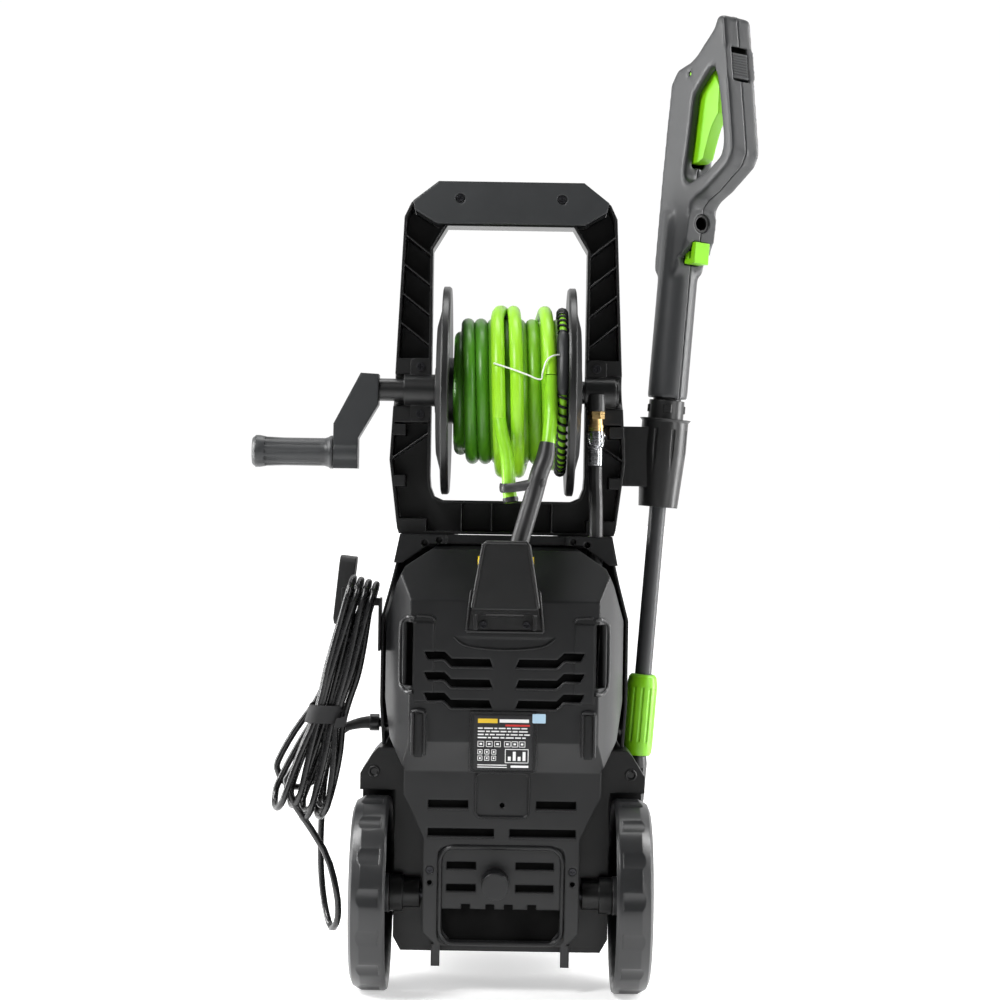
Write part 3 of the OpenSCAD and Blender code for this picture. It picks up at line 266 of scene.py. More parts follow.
plug_rubber = smooth_rubber("plug_rubber", (0.007, 0.007, 0.0075), 0.5)
pale_nylon = smooth_rubber("pale_nylon", (0.75, 0.76, 0.72), 0.35)
strap_web = moulded_plastic("strap_web", (0.006, 0.006, 0.0065), 0.8, grain=2600, depth=0.0004, edge=0.0004)
print_white = moulded_plastic("print_white", (0.7, 0.7, 0.7), 0.4, depth=0.00001, edge=0.0002)
print_red = moulded_plastic("print_red", (0.5, 0.02, 0.015), 0.4, depth=0.00001, edge=0.0002)
print_gold = moulded_plastic("print_gold", (0.6, 0.4, 0.02), 0.4, depth=0.00001, edge=0.0002)
sticker_pale = moulded_plastic("sticker_pale", (0.35, 0.5, 0.62), 0.25, depth=0.00001, edge=0.0002)

FINISH = {
    "body_plastic": body_plastic, "black_plastic": black_plastic, "grey_plastic": grey_plastic,
    "green_plastic": green_plastic, "hose_green": hose_skin, "black_rubber": black_rubber,
    "dark_screws": screw_metal, "steel": bright_steel, "lance_metal": lance_paint,
    "brass": brass_metal, "cast_metal": cast_metal, "motor_metal": motor_steel,
    "copper_winding": copper_wire, "fan_plastic": green_plastic, "plate_print": label_film,
    "yellow_film": yellow_film,
}

OWN_FINISH = {
    "gun_shell_left": gun_plastic, "gun_shell_right": gun_plastic, "gun_valve": black_plastic,
    "wheel_left": wheel_plastic, "wheel_right": wheel_plastic, "chassis": chassis_plastic,
    "axle": screw_metal,
}


# ---------------------------------------------------------------- helpers

def place_piece(piece, body, material, *stands_for):
    if piece.name not in bpy.context.scene.collection.objects:
        bpy.context.scene.collection.objects.link(piece)
    piece.data.materials.clear()
    piece.data.materials.append(material)
    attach(piece, body)
    if stands_for:
        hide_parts(*stands_for)
    return piece


def smooth_line(points, steps):
    """A smooth curve through the points, the same one that the frame's tubes follow."""
    line = []
    last = len(points) - 1
    pts = [Vector(p) for p in points]
    for i in range(last):
        a, b, c, d = pts[max(i - 1, 0)], pts[i], pts[i + 1], pts[min(i + 2, last)]
        for k in range(steps):
            t = k / steps
            line.append(0.5 * (2 * b + (c - a) * t + (2 * a - 5 * b + 4 * c - d) * t * t
                               + (3 * b - a - 3 * c + d) * t * t * t))
    line.append(pts[last])
    return line


def strand(name, points, diameter, widths=None, sides=6):
    curve = bpy.data.curves.new(name, "CURVE")
    curve.dimensions = "3D"
    curve.bevel_depth = diameter / 2
    curve.bevel_resolution = sides
    curve.use_fill_caps = True
    spline = curve.splines.new("POLY")
    spline.points.add(len(points) - 1)
    for i, p in enumerate(points):
        spline.points[i].co = (*p, 1)
        spline.points[i].radius = widths[i] if widths else 1
    spline.use_smooth = True
    return bpy.data.objects.new(name, curve)


def mesh_piece(name, bm, body, material, *stands_for, smooth=35):
    bmesh.ops.remove_doubles(bm, verts=bm.verts, dist=1e-6)
    bmesh.ops.recalc_face_normals(bm, faces=bm.faces)
    for face in bm.faces:
        face.smooth = True
    limit = math.radians(smooth)
    for edge in bm.edges:
        if len(edge.link_faces) == 2 and edge.calc_face_angle() > limit:
            edge.smooth = False
    mesh = bpy.data.meshes.new(name)
    bm.to_mesh(mesh)
    bm.free()
    piece = place_piece(bpy.data.objects.new(name, mesh), body, material, *stands_for)
    flats = piece.modifiers.new("flat_faces", "WEIGHTED_NORMAL")
    flats.keep_sharp = True
    return piece


def finished(name, edge=0.8, segments=2, angle=28):
    """The moulded form of a frame part: its own shape with its edges rounded off."""
    bm = bmesh.new()
    bm.from_mesh(nodes[name].data)
    bmesh.ops.remove_doubles(bm, verts=bm.verts, dist=2e-6)
    bmesh.ops.dissolve_limit(bm, angle_limit=math.radians(0.6), verts=bm.verts, edges=bm.edges)
    sharp = [e for e in bm.edges if len(e.link_faces) == 2 and e.calc_face_angle() > math.radians(angle)]
    bmesh.ops.bevel(
        bm, geom=sharp, offset=edge * MM, offset_type="OFFSET", segments=segments, profile=0.5,
        affect="EDGES", clamp_overlap=True, material=-1, harden_normals=False,
    )
    slot = next(s["material_slot"] for s in frame["record"]["subparts"] if s["node"] == name)
    finish = OWN_FINISH.get(name) or FINISH[slot]
    return mesh_piece(f"{name}_shown", bm, body_of_node[name], finish, name)


# ---------------------------------------------------------------- pressure hose

HOSE_D = 0.014
DRUM_R = 0.0353
WOUND_HALF = 0.0504
LAYERS, LAYER_TURNS = 3, 8
WOUND_FROM = 0.25
CROSSING = 0.62
RAISED_X = -0.013
PER_TURN = 40


def reel_point(x, radius, turn):
    """A point round the reel: turn 0 is nearest the operator, and a quarter turn on is below."""
    a = turn * 2 * math.pi
    return Vector((x, REEL_Y - radius * math.cos(a), REEL_Z - radius * math.sin(a)))


def wound_hose():
    """Three full layers, a crossing at the back, and three raised turns that end at the front."""
    line = []
    first, pitch = DRUM_R + HOSE_D / 2, HOSE_D
    turn = WOUND_FROM
    for layer in range(LAYERS):
        way = 1 if layer % 2 == 0 else -1
        r = first + layer * pitch
        for i in range(LAYER_TURNS * PER_TURN):
            t = i / (LAYER_TURNS * PER_TURN)
            slide = min(1.0, t * LAYER_TURNS / (LAYER_TURNS - 0.5))
            x = way * (-WOUND_HALF + 2 * WOUND_HALF * slide)
            radius = r if layer == 0 else r - pitch * (1 - min(1, i / (0.18 * PER_TURN)) ** 0.5)
            line.append(reel_point(x, radius, turn + i / PER_TURN))
        turn += LAYER_TURNS
    cross = int(CROSSING * PER_TURN)
    top = first + LAYERS * pitch
    start = turn
    for i in range(cross):
        t = i / cross
        ease = t * t * (3 - 2 * t)
        radius = top - pitch * (1 - min(1, t / 0.2)) ** 2
        line.append(reel_point(WOUND_HALF - (WOUND_HALF - RAISED_X) * ease, radius, start + i / PER_TURN))
    turn += cross / PER_TURN
    last = math.ceil(turn) + 2
    marks = [(turn, RAISED_X), (last - 2, -0.0105), (last - 1, 0.0085), (last - 0.72, 0.0125),
             (last - 0.28, 0.036), (last, 0.043)]
    for i in range(int((last - turn) * PER_TURN) + 1):
        now = min(turn + i / PER_TURN, last)
        for (a, xa), (b, xb) in zip(marks, marks[1:]):
            if a <= now <= b:
                x = xa + (xb - xa) * (now - a) / (b - a)
        line.append(reel_point(x, top, now))
    return line


TAIL = [(44, -139, 604), (42, -142, 580), (38, -145, 555), (32, -148, 535)]
BOOT = [(32, -148, 535), (27, -151, 515), (20, -156, 490), (12, -160, 460), (8, -162, 430), (6, -162, 408)]
STUB = [(-9.5, -118.4, 593), (-6, -123, 576), (-1, -127, 556), (1, -131, 538), (2, -134, 521), (4, -136, 507)]
SLEEVE_R = 0.0095


def metres(points):
    return [Vector(p) * MM for p in points]


def slab(points, y0, y1, edge=0.0, segments=2, plane="xz"):
    """An outline pushed from y0 to y1 across its plane, its rims rounded; millimetres in, metres out."""
    bm = bmesh.new()
    order = {"xz": lambda p: (p[0], y0, p[1]), "yz": lambda p: (y0, p[0], p[1]),
             "xy": lambda p: (p[0], p[1], y0)}[plane]
    push = {"xz": (0, y1 - y0, 0), "yz": (y1 - y0, 0, 0), "xy": (0, 0, y1 - y0)}[plane]
    face = bm.faces.new([bm.verts.new(Vector(order(p)) * MM) for p in points])
    grown = bmesh.ops.extrude_face_region(bm, geom=[face])
    moved = [v for v in grown["geom"] if isinstance(v, bmesh.types.BMVert)]
    bmesh.ops.translate(bm, verts=moved, vec=Vector(push) * MM)
    bmesh.ops.recalc_face_normals(bm, faces=bm.faces)
    if edge:
        bmesh.ops.bevel(bm, geom=list(bm.edges), offset=edge * MM, offset_type="OFFSET", segments=segments,
                        profile=0.5, affect="EDGES", clamp_overlap=True, material=-1)
    return bm


def joined(*parts):
    """One bmesh from several."""
    whole = bmesh.new()
    for part in parts:
        mesh = bpy.data.meshes.new("part")
        part.to_mesh(mesh)
        part.free()
        whole.from_mesh(mesh)
        bpy.data.meshes.remove(mesh)
    return whole


def grow_ring(bm, edges):
    """Extrude a loop of edges once, and give the new loop's corners and edges."""
    made = bmesh.ops.extrude_edge_only(bm, edges=edges)["geom"]
    corners = [g for g in made if isinstance(g, bmesh.types.BMVert)]
    fresh = set(corners)
    return corners, [g for g in made if isinstance(g, bmesh.types.BMEdge) and fresh.issuperset(g.verts)]


def tube(points, radius, sides=12, closed=False):
    """A round bar along the points, with one radius or a list of them."""
    bm = bmesh.new()
    pts = [Vector(p) for p in points]
    count = len(pts)
    side, last, first_edges, edges = None, None, None, None
    for i, p in enumerate(pts):
        before = pts[i - 1] if i or closed else p
        after = pts[(i + 1) % count] if i < count - 1 or closed else p
        along = (after - before).normalized()
        if side is None:
            side = along.orthogonal().normalized()
        side = (side - along * side.dot(along)).normalized()
        r = radius[i] if isinstance(radius, (list, tuple)) else radius
        place = Matrix.Translation(p) @ Matrix((side, along.cross(side), along)).transposed().to_4x4()
        place = place @ Matrix.Diagonal((r, r, r, 1))
        if last is None:
            corners = bmesh.ops.create_circle(
                bm, cap_ends=False, segments=sides, radius=1, matrix=place)["verts"]
            first_edges = edges = list({e for v in corners for e in v.link_edges})
        else:
            corners, edges = grow_ring(bm, edges)
            bmesh.ops.transform(bm, matrix=place @ last.inverted(), verts=corners)
        last = place
    if closed:
        bmesh.ops.bridge_loops(bm, edges=first_edges + edges)
    else:
        for loop in (first_edges, edges):
            bmesh.ops.contextual_create(bm, geom=loop)
    bmesh.ops.recalc_face_normals(bm, faces=bm.faces)
    return bm


def rounded_box(low, high, corner, steps=5):
    """A closed outline of a box with round corners, in millimetres."""
    (x0, z0), (x1, z1) = low, high
    out = []
    for cx, cz, start in ((x1 - corner, z1 - corner, 0), (x0 + corner, z1 - corner, 90),
                          (x0 + corner, z0 + corner, 180), (x1 - corner, z0 + corner, 270)):
        for k in range(steps + 1):
            a = math.radians(start + 90 * k / steps)
            out.append((cx + corner * math.cos(a), cz + corner * math.sin(a)))
    return out


def make_pressure_hose():
    """The wound hose, its tail and sleeve, the short stub beside it and the tie round both."""
    wound = wound_hose()
    coil = place_piece(strand("wound_hose", wound, HOSE_D, sides=5), "reel", wound_skin_painted_shade(), "hose_wound")
    end = wound[-1]
    way = metres([(43.5, -126.5, 606), (43, -133, 588), (40, -141, 562)]) + metres(TAIL[3:] + BOOT[1:])
    line = smooth_line([end] + way, 6)
    tail = place_piece(strand("hose_end", line, HOSE_D, sides=8), "machine", hose_skin, "hose_tail")
    sleeve = smooth_line(metres([(40.5, -141.5, 568), (38, -143.5, 552)] + BOOT), 6)
    widths = [SLEEVE_R * (0.84 + 0.16 * min(1, i / 5)) for i in range(len(sleeve))]
    boot = mesh_piece("hose_sleeve", tube(sleeve, widths, 20), "machine", black_rubber, "hose_boots")
    stub = smooth_line(metres(STUB), 5)
    mesh_piece("hose_stub", tube(stub, 0.0069, 16), "machine", hose_skin)
    mesh_piece("stub_collar", tube(stub[-3:], [0.0078, 0.0081, 0.0074], 18), "machine", black_rubber)
    tie = smooth_line(metres([
        (-7, -129, 522), (-4, -141, 521), (8, -147, 522), (22, -155, 524), (36, -157, 527), (38, -145, 529),
        (27, -138, 527), (14, -131, 524), (4, -124, 522), (-5, -122, 521), (-7, -129, 522),
    ]), 5)[:-1]
    band = tube(tie, 0.0011, 8, closed=True)
    for v in band.verts:
        nearest = min(tie, key=lambda p: (p - v.co).length_squared)
        v.co.z = nearest.z + (v.co.z - nearest.z) * 4.2
    mesh_piece("hose_tie", band, "machine", black_rubber)


WHIP_X, WHIP_R = 0.0557, 0.0834
GUARD_TURNS, GUARD_STEPS, GUARD_R = 58, 10, 0.0049


def make_whip():
    """The short whip in a spiral guard beside the right flange, and its grey connector."""
    ring = [reel_point(WHIP_X, WHIP_R, k / 72) for k in range(72)]
    mesh_piece("whip_hose", tube(ring, 0.0042, 12, closed=True), "reel", hose_skin)
    guard = []
    for k in range(GUARD_TURNS * GUARD_STEPS):
        t = k / (GUARD_TURNS * GUARD_STEPS)
        centre = reel_point(WHIP_X, WHIP_R, t)
        out = (reel_point(WHIP_X, WHIP_R + 1, t) - centre).normalized()
        a = 2 * math.pi * GUARD_TURNS * t
        guard.append(centre + (out * math.cos(a) + Vector((1, 0, 0)) * math.sin(a)) * GUARD_R)
    mesh_piece("spiral_guard", tube(guard, 0.0016, 5, closed=True), "reel", black_rubber, smooth=80)
    body = [reel_point(WHIP_X, WHIP_R + 0.0006, t)
            for t in (0.875, 0.883, 0.89, 0.915, 0.945, 0.975, 1.0, 1.006, 1.012)]
    mesh_piece("whip_connector", tube(body, [0.0042, 0.0052, 0.0062, 0.0066, 0.0066, 0.0066, 0.0062,
                                             0.0052, 0.0044], 20), "reel", grey_plastic)
    strap = smooth_line([reel_point(*spot) for spot in (
        (-0.0158, 0.0925, 0.9566), (0.004, 0.0932, 0.968), (0.018, 0.0932, 0.9765),
        (0.0321, 0.0932, 0.985), (0.0345, 0.0936, 0.972), (0.038, 0.0938, 0.952),
        (0.0445, 0.0935, 0.942), (0.0515, 0.0905, 0.9375),
    )], 6)
    mesh_piece("pale_tie", tube(strap, 0.0009, 6), "reel", pale_nylon)


make_pressure_hose()
make_whip()


# ---------------------------------------------------------------- power cord

CORD_D = 0.007
LEAD = [(-146, -26, 270), (-158, -26, 268), (-176, -26, 254), (-188, -26, 220), (-192, -27, 170),
        (-192, -28, 120), (-187, -34, 78), (-178, -52, 55), (-170, -72, 70), (-172, -78, 100),
        (-186, -70, 140), (-197, -61, 168)]
PLUG_END = [(-186, -31, 322), (-182, -19, 336), (-179, -13, 350), (-176.6, -12, 362.8)]
HANK_TOP = Vector((-0.153, -0.060, 0.402))
HANK_LEAN = math.radians(15.5)
HANK_LONG = 0.212
HANK_TURNS, ABREAST = 8, 4
INNER_FOLD, OUTER_FOLD = 0.0135, 0.0205
FIRST_X, STEP_X, STEP_FAN = -0.0125, 0.0083, 0.0068
LOOP_OPEN = 0.0065
STRAP_DOWN = 0.124
PLUG_PLACE = (-172, -12, 405)
PLUG_LEAN = 6


def hank_point(across, out, up):
    turned = Matrix.Rotation(HANK_LEAN, 3, "Y") @ Vector((across, out, up))
    return HANK_TOP + turned


def pinch(t, strap):
    """How far the strap pulls a strand in at t along its run, from 0 to 1."""
    return math.exp(-((t - strap) / 0.16) ** 2)


def hank_turns():
    """Eight turns hung over the cable hook, four abreast and two deep, pulled in at the strap."""
    line = []
    sway = (0.001, 0.0032, -0.0026, 0.0036, -0.0034, 0.0022, -0.0036, 0.0028)
    foot = (0.0, 0.004, -0.003, 0.006, 0.002, -0.005, 0.005, -0.002)

    def spot(i):
        column = i if i < ABREAST else HANK_TURNS - 1 - i
        return FIRST_X + column * STEP_X, (column - (ABREAST - 1) / 2) * STEP_FAN

    for i in range(HANK_TURNS):
        r = INNER_FOLD if i < ABREAST else OUTER_FOLD
        x, fan = spot(i)
        for k in range(7 if i else 0):
            a = math.pi * k / 6
            line.append(hank_point(x + fan - LOOP_OPEN * math.cos(a), r * math.cos(a),
                                   -HANK_LONG + foot[i] - r * math.sin(a)))
        for k in range(1, 8):
            t = k / 8
            pull = pinch(t, 0.42)
            line.append(hank_point((x + (fan + LOOP_OPEN) * (1 - t)) * (1 - 0.28 * pull)
                                   + sway[i] * math.sin(math.pi * t),
                                   -r * (1 - 0.12 * pull), -(HANK_LONG - foot[i]) * (1 - t)))
        for k in range(5):
            a = math.pi * k / 4
            line.append(hank_point(x, -r * math.cos(a), r * math.sin(a)))
        if i < HANK_TURNS - 1:
            nx, nfan = spot(i + 1)
            for k in range(1, 8):
                t = k / 8
                pull = pinch(t, 0.58)
                line.append(hank_point((x + (nx + nfan - LOOP_OPEN - x) * t) * (1 - 0.28 * pull)
                                       - sway[i] * math.sin(math.pi * t), r * (1 - 0.12 * pull),
                                       -(HANK_LONG - foot[i + 1]) * t))
    return line


def hank_strap():
    """A soft strap, wrapped once round the hank, with its free end."""
    bm = bmesh.new()
    corners = bmesh.ops.create_circle(bm, cap_ends=False, segments=40, radius=1)["verts"]
    edges = list({e for v in corners for e in v.link_edges})
    rows = [corners]
    for _ in range(3):
        corners, edges = grow_ring(bm, edges)
        rows.append(corners)
    half_w, half_d, half_h, rim = 0.0195, 0.0262, 0.0098, 0.0007
    for row, up, inset in zip(rows, (half_h, half_h - rim, rim - half_h, -half_h), (rim, 0, 0, rim)):
        for v in row:
            across = math.copysign(abs(v.co.x) ** 0.7, v.co.x) * (half_w - inset)
            out = math.copysign(abs(v.co.y) ** 0.7, v.co.y) * (half_d - inset)
            v.co = hank_point(across, out, -STRAP_DOWN + up + across * 0.25)
    bmesh.ops.recalc_face_normals(bm, faces=bm.faces)
    bmesh.ops.solidify(bm, geom=list(bm.faces), thickness=0.0014)
    tab = joined(slab([(-176, 268), (-164, 271), (-162, 282), (-174, 279)], -89, -87.6, 0.5))
    return joined(bm, tab)


def make_plug():
    """The moulded plug: a long slab with a hollow for the fingers, its pins and a stepped tail."""
    centre, lean = Vector(PLUG_PLACE) * MM, Matrix.Rotation(math.radians(PLUG_LEAN), 4, "Y")
    body = slab(rounded_box((-19, -32), (19, 42), 7, 5), -9.5, 9.5, 2.4, 4, plane="yz")
    for v in body.verts:
        hollow = math.exp(-((v.co.z - 0.002) / 0.018) ** 2)
        v.co.y *= 1 - 0.1 * hollow
        foot = max(0, -0.012 - v.co.z) / 0.02
        v.co.x *= 1 - 0.3 * foot * foot
        v.co.x *= 1 - 0.1 * max(0, v.co.z) / 0.042
    parts = [body]
    for k in range(3):
        z = -35.5 - 2.3 * k
        parts.append(tube(metres([(0, 0, z), (0, 0, z + 1.7)]), (6.0 - 0.5 * k) * MM, 20))
    parts.append(tube(metres([(0, 0, -31), (0, 0, -42)]), [0.006, 0.0042], 20))
    whole = joined(*parts)
    pins = joined(*[tube(metres([(9, dy, 0), (26, dy, 0), (27, dy, 0)]), [0.0024, 0.0024, 0.0015], 16)
                    for dy in (-9.5, 9.5)])
    for bm in (whole, pins):
        bmesh.ops.transform(bm, matrix=Matrix.Translation(centre) @ lean, verts=bm.verts)
    plug = mesh_piece("plug_body", whole, "machine", plug_rubber, "power_plug")
    return plug, mesh_piece("plug_pins", pins, "machine", bright_steel)


def make_power_cord():
    """The lead from the gland, the hank, the loop out of it and the plug's end, as one cord."""
    hank = hank_turns()
    lead = metres(LEAD)
    route = lead[:-1] + [hank_point(-0.0162, -INNER_FOLD, -HANK_LONG)] + hank
    finish = [hank_point(-0.004, 0.024, -0.04), hank_point(0.003, 0.0235, -0.085),
              hank_point(0.006, 0.0225, -STRAP_DOWN), hank_point(0.008, 0.0245, -0.16)]
    for k in range(7):
        a = math.pi * k / 6
        finish.append(hank_point(-0.014 + 0.022 * math.cos(a), 0.0265, -0.19 - 0.022 * math.sin(a)))
    finish += [hank_point(-0.028, 0.0255, -0.155), hank_point(-0.015, 0.023, -0.118)]
    line = smooth_line(route + finish + metres(PLUG_END), 3)
    cord = place_piece(strand("power_cord", line, CORD_D, sides=5), "machine", cord_skin,
                       "cord_lead", "cord_hank")
    plug, pins = make_plug()
    strap = mesh_piece("hank_strap", hank_strap(), "machine", strap_web)
    relief = [Vector((-0.140 - 0.0045 * k, -0.026, 0.270 - 0.0003 * k * k * 0.5)) for k in range(8)]
    widths = [0.0068, 0.0066, 0.0062, 0.0058, 0.0054, 0.005, 0.0047, 0.0043]
    sleeve = mesh_piece("cord_relief", tube(relief, widths, 20), "machine", plug_rubber)


make_power_cord()


# ---------------------------------------------------------------- frame parts

EDGES = {
    "rear_cover": 1.2, "front_cover": 1.5, "chassis": 1.5, "top_deck": 1.5, "handle_frame": 0.8,
    "grip_rear": 2.0, "grip_front": 2.0, "hose_hook": 0.6, "wheel_left": 0.8, "wheel_right": 0.8,
    "crank_arm": 1.0, "crank_grip": 0.6, "gun_trigger": 2.0,
}
STANDS = {"hose_wound", "hose_tail", "hose_boots", "cord_lead", "cord_hank", "power_plug",
          "quick_coupling"}


GUN_TIP = Vector((139.9, 5, 178)) * MM
GUN_AXES = Matrix.Rotation(math.radians(4.1), 3, "Y") @ Matrix.Rotation(math.radians(-58), 3, "Z")
SHARP_SPOTS = ((37, 0, 626, 22), (75, 0, 798, 24), (22, 0, 600, 20))
SEAM = 0.002
GRID, SOFT_PASSES = 0.0011, 46


def softened_half(name):
    """A half of the gun, its outer edges rounded broadly and its seam, socket and lock left crisp."""
    source = bpy.data.objects.new("half", nodes[name].data.copy())
    bpy.context.scene.collection.objects.link(source)
    grid = source.modifiers.new("grid", "REMESH")
    grid.mode = "VOXEL"
    grid.voxel_size = GRID
    ready = source.evaluated_get(bpy.context.evaluated_depsgraph_get())
    bm = bmesh.new()
    bm.from_mesh(ready.to_mesh())
    ready.to_mesh_clear()
    bpy.data.objects.remove(source)
    back = GUN_AXES.transposed()
    loose = []
    for v in bm.verts:
        place = back @ (v.co - GUN_TIP)
        near = any((place - Vector(spot) * MM).length < reach * MM for *spot, reach in SHARP_SPOTS)
        if abs(place.y) > SEAM and not near:
            loose.append(v)
    for _ in range(SOFT_PASSES):
        bmesh.ops.smooth_vert(
            bm, verts=loose, factor=0.5, use_axis_x=True, use_axis_y=True, use_axis_z=True)
    return mesh_piece(f"{name}_shown", bm, body_of_node[name], gun_plastic, name, smooth=60)


def finish_frame_parts():
    for name in nodes:
        if name in STANDS:
            continue
        if name.startswith("gun_shell"):
            softened_half(name)
        else:
            finished(name, EDGES.get(name, 0.4))


finish_frame_parts()


# ---------------------------------------------------------------- rear cover

COVER_Y = -135
LOW_Y = COVER_Y + 17
FACE = ((0, COVER_Y), (94, COVER_Y), (97, -134), (111, -107), (124, -72))
UPPER_SLOTS = (300.5, 321.5, 342.5)
BOLT_X, BOLT_Z = 134, 224


def cover_y(x):
    """How far back the upper cover's face is, at a distance from its middle line."""
    x = abs(x)
    for (a, ya), (b, yb) in zip(FACE, FACE[1:]):
        if a <= x <= b:
            return ya + (yb - ya) * (x - a) / (b - a)
    return FACE[-1][1]


def bar(points, radius, sides=10, steps=4):
    """A moulded rib along points in millimetres."""
    pts = metres(points)
    line = pts if steps < 2 else smooth_line(pts, steps)
    return tube(line, radius * MM, sides)


def flat_rim(outline, y, radius):
    """A round rim along a closed outline that stands across the view, in millimetres."""
    return tube([Vector((x, y, z)) * MM for x, z in outline], radius * MM, 10, closed=True)


def make_cover_ribs():
    """Rounded lips round the cover's recesses and over its slots, and the two screw clips."""
    ribs = [
        flat_rim(rounded_box((-63, 53), (63, 152), 15, 6), LOW_Y - 0.4, 2.6),
        flat_rim(rounded_box((-27.5, 183), (27.5, 229), 6, 4), LOW_Y - 0.1, 1.3),
        flat_rim(rounded_box((-33.4, 231.6), (33.4, 292.4), 4, 4), COVER_Y - 1.3, 1.0),
    ]
    for side in (-1, 1):
        for low, first, last in ((192, 35, 76), (163, 8, 76)):
            ribs.append(bar([(side * first, LOW_Y - 0.6, low - 0.8), (side * last, LOW_Y - 0.6, low - 0.8)],
                            1.5, steps=1))
        for z in UPPER_SLOTS:
            ribs.append(bar([(side * x, COVER_Y - 0.5, z + up) for x, up in (
                (12, -5), (30, -5), (48, -5), (54.5, -4.6), (61.5, 2), (68, 2.2), (79, 2.2), (82.5, 6))],
                1.3, steps=3))
        ribs.append(bar([(side * x, cover_y(x) - 0.4, z) for x, z in (
            (92, 387), (98, 388.5), (103.5, 386), (106.6, 379), (107, 350), (106.6, 322), (104, 314.5),
            (99, 311.5), (93, 312))], 2.3, steps=4))
        ribs.append(bar([(side * x, cover_y(x) - 0.2, z) for x, z in (
            (71, 385), (74, 388.5), (84, 389.5), (90, 389.5))], 1.6, steps=4))
        clip = ((82.3, 245.5), (90.7, 245.5), (90.7, 290.5), (82.3, 290.5))
        ribs.append(slab([(side * x, z) for x, z in clip], COVER_Y - 2.2, COVER_Y - 2.4))
        for x in (80.4, 92.6):
            ribs.append(bar([(side * x, COVER_Y - 6, 248), (side * x, COVER_Y - 6.2, 270),
                             (side * x, COVER_Y - 6, 291)], 1.7, steps=2))
        ribs.append(bar([(side * 79.8, COVER_Y - 4, 292), (side * 86.5, COVER_Y - 4.6, 293.5),
                         (side * 93.2, COVER_Y - 4, 292)], 2.0, steps=3))
    for z in (110, 133):
        for x0, x1 in ((-56, -26), (15, 54)):
            ribs.append(bar([(x0, LOW_Y - 0.3, z - 4.2), (x1, LOW_Y - 0.3, z - 4.2)], 1.2, steps=1))
    ribs.append(bar([(-52, COVER_Y - 0.1, 368.5), (-38, COVER_Y - 0.1, 359.5), (0, COVER_Y - 0.1, 356),
                     (38, COVER_Y - 0.1, 359.5), (52, COVER_Y - 0.1, 368.5)], 1.2, steps=6))
    mesh_piece("cover_ribs", joined(*ribs), "machine", body_plastic, smooth=50)


def make_hook_rims():
    """The hose hook's rolled edges and the bar across its foot."""
    z0, back, base = 374, -181.6, -140.6
    rims = [
        bar([(-33, back, z0 + 27), (-22.8, back, z0 + 90), (-20, back, z0 + 92.5), (20, back, z0 + 92.5),
             (22.8, back, z0 + 90), (33, back, z0 + 27)], 1.9, steps=1),
        bar([(-39, base, z0 + 1), (-34.6, base, z0 + 42)], 1.7, steps=1),
        bar([(39, base, z0 + 1), (34.6, base, z0 + 42)], 1.7, steps=1),
        bar([(-39, base, z0 + 1), (39, base, z0 + 1)], 1.7, steps=1),
        bar([(-30, base - 8, z0 + 4), (-30, base - 12, z0 + 25)], 2.2, steps=1),
        bar([(30, base - 8, z0 + 4), (30, base - 12, z0 + 25)], 2.2, steps=1),
        bar([(-19, base - 10, z0 + 22), (19, base - 10, z0 + 22)], 5.5, 20, steps=1),
    ]
    mesh_piece("hook_rims", joined(*rims), "machine", black_plastic)


def patch(x0, x1, z0, z1, y):
    """A thin rectangle of print."""
    return slab([(x0, z0), (x1, z0), (x1, z1), (x0, z1)], y, y - 0.12)


def print_rows():
    """Plain bars in place of the plate's print: a heading, rows of dashes, boxes and a table."""
    y = COVER_Y - 2.0
    white, red, gold = [], [], []
    gold.append(patch(-26, -6, 281.5, 286, y))
    white.append(patch(-4, 26, 282.2, 285.6, y))
    red.append(patch(2, 27, 278.4, 280.2, y))
    widths = (5, 9, 3, 7, 4, 8, 6, 3.5)
    for row, z in enumerate((275.6, 272.4, 269.2, 266.0)):
        x, k = -26, row * 3
        while x < 24:
            wide = widths[k % 8]
            white.append(patch(x, min(x + wide, 27), z, z + 1.3, y))
            x += wide + 1.4
            k += 1
    for x in (-26, -17.5, -9, 1, 8.5, 16):
        for a, b, c, d in ((0, 6.6, 0, 0.6), (0, 6.6, 5.4, 6.0), (0, 0.6, 0, 6.0), (6.0, 6.6, 0, 6.0)):
            white.append(patch(x + a, x + b, 257.2 + c, 257.2 + d, y))
        white.append(patch(x + 2, x + 4.6, 259.2, 261.2, y))
    for row, z in enumerate((249.6, 243.2)):
        for x in (-26, -19, -12):
            for a, b, c, d in ((0, 5, 0, 0.6), (0, 5, 4.4, 5.0), (0, 0.6, 0, 5.0), (4.4, 5, 0, 5.0)):
                white.append(patch(x + a, x + b, z + c, z + d, y))
            white.append(patch(x + 1.7, x + 3.3, z + 1.6, z + 3.4, y))
    for a, b, c, d in ((2, 26, 241, 241.7), (2, 26, 254.6, 255.3), (2, 2.7, 241, 255),
                       (25.3, 26, 241, 255)):
        white.append(patch(a, b, c, d, y))
    for x in (5, 10, 15, 20):
        white.append(patch(x, x + 3, 243.4, 252.6 - (x % 10), y))
    for z in (238.4, 236.2):
        white.append(patch(-26, 4, z, z + 0.8, y))
    white.append(patch(8, 26, 236.4, 238.6, y))
    mesh_piece("plate_marks", joined(*white), "machine", print_white)
    mesh_piece("plate_heading", joined(*gold), "machine", print_gold)
    mesh_piece("plate_band", joined(*red), "machine", print_red)
    sticker = slab(rounded_box((29.5, 282), (43, 291.5), 1, 3), COVER_Y - 2.05, COVER_Y - 2.35)
    mesh_piece("small_sticker", sticker, "machine", sticker_pale)


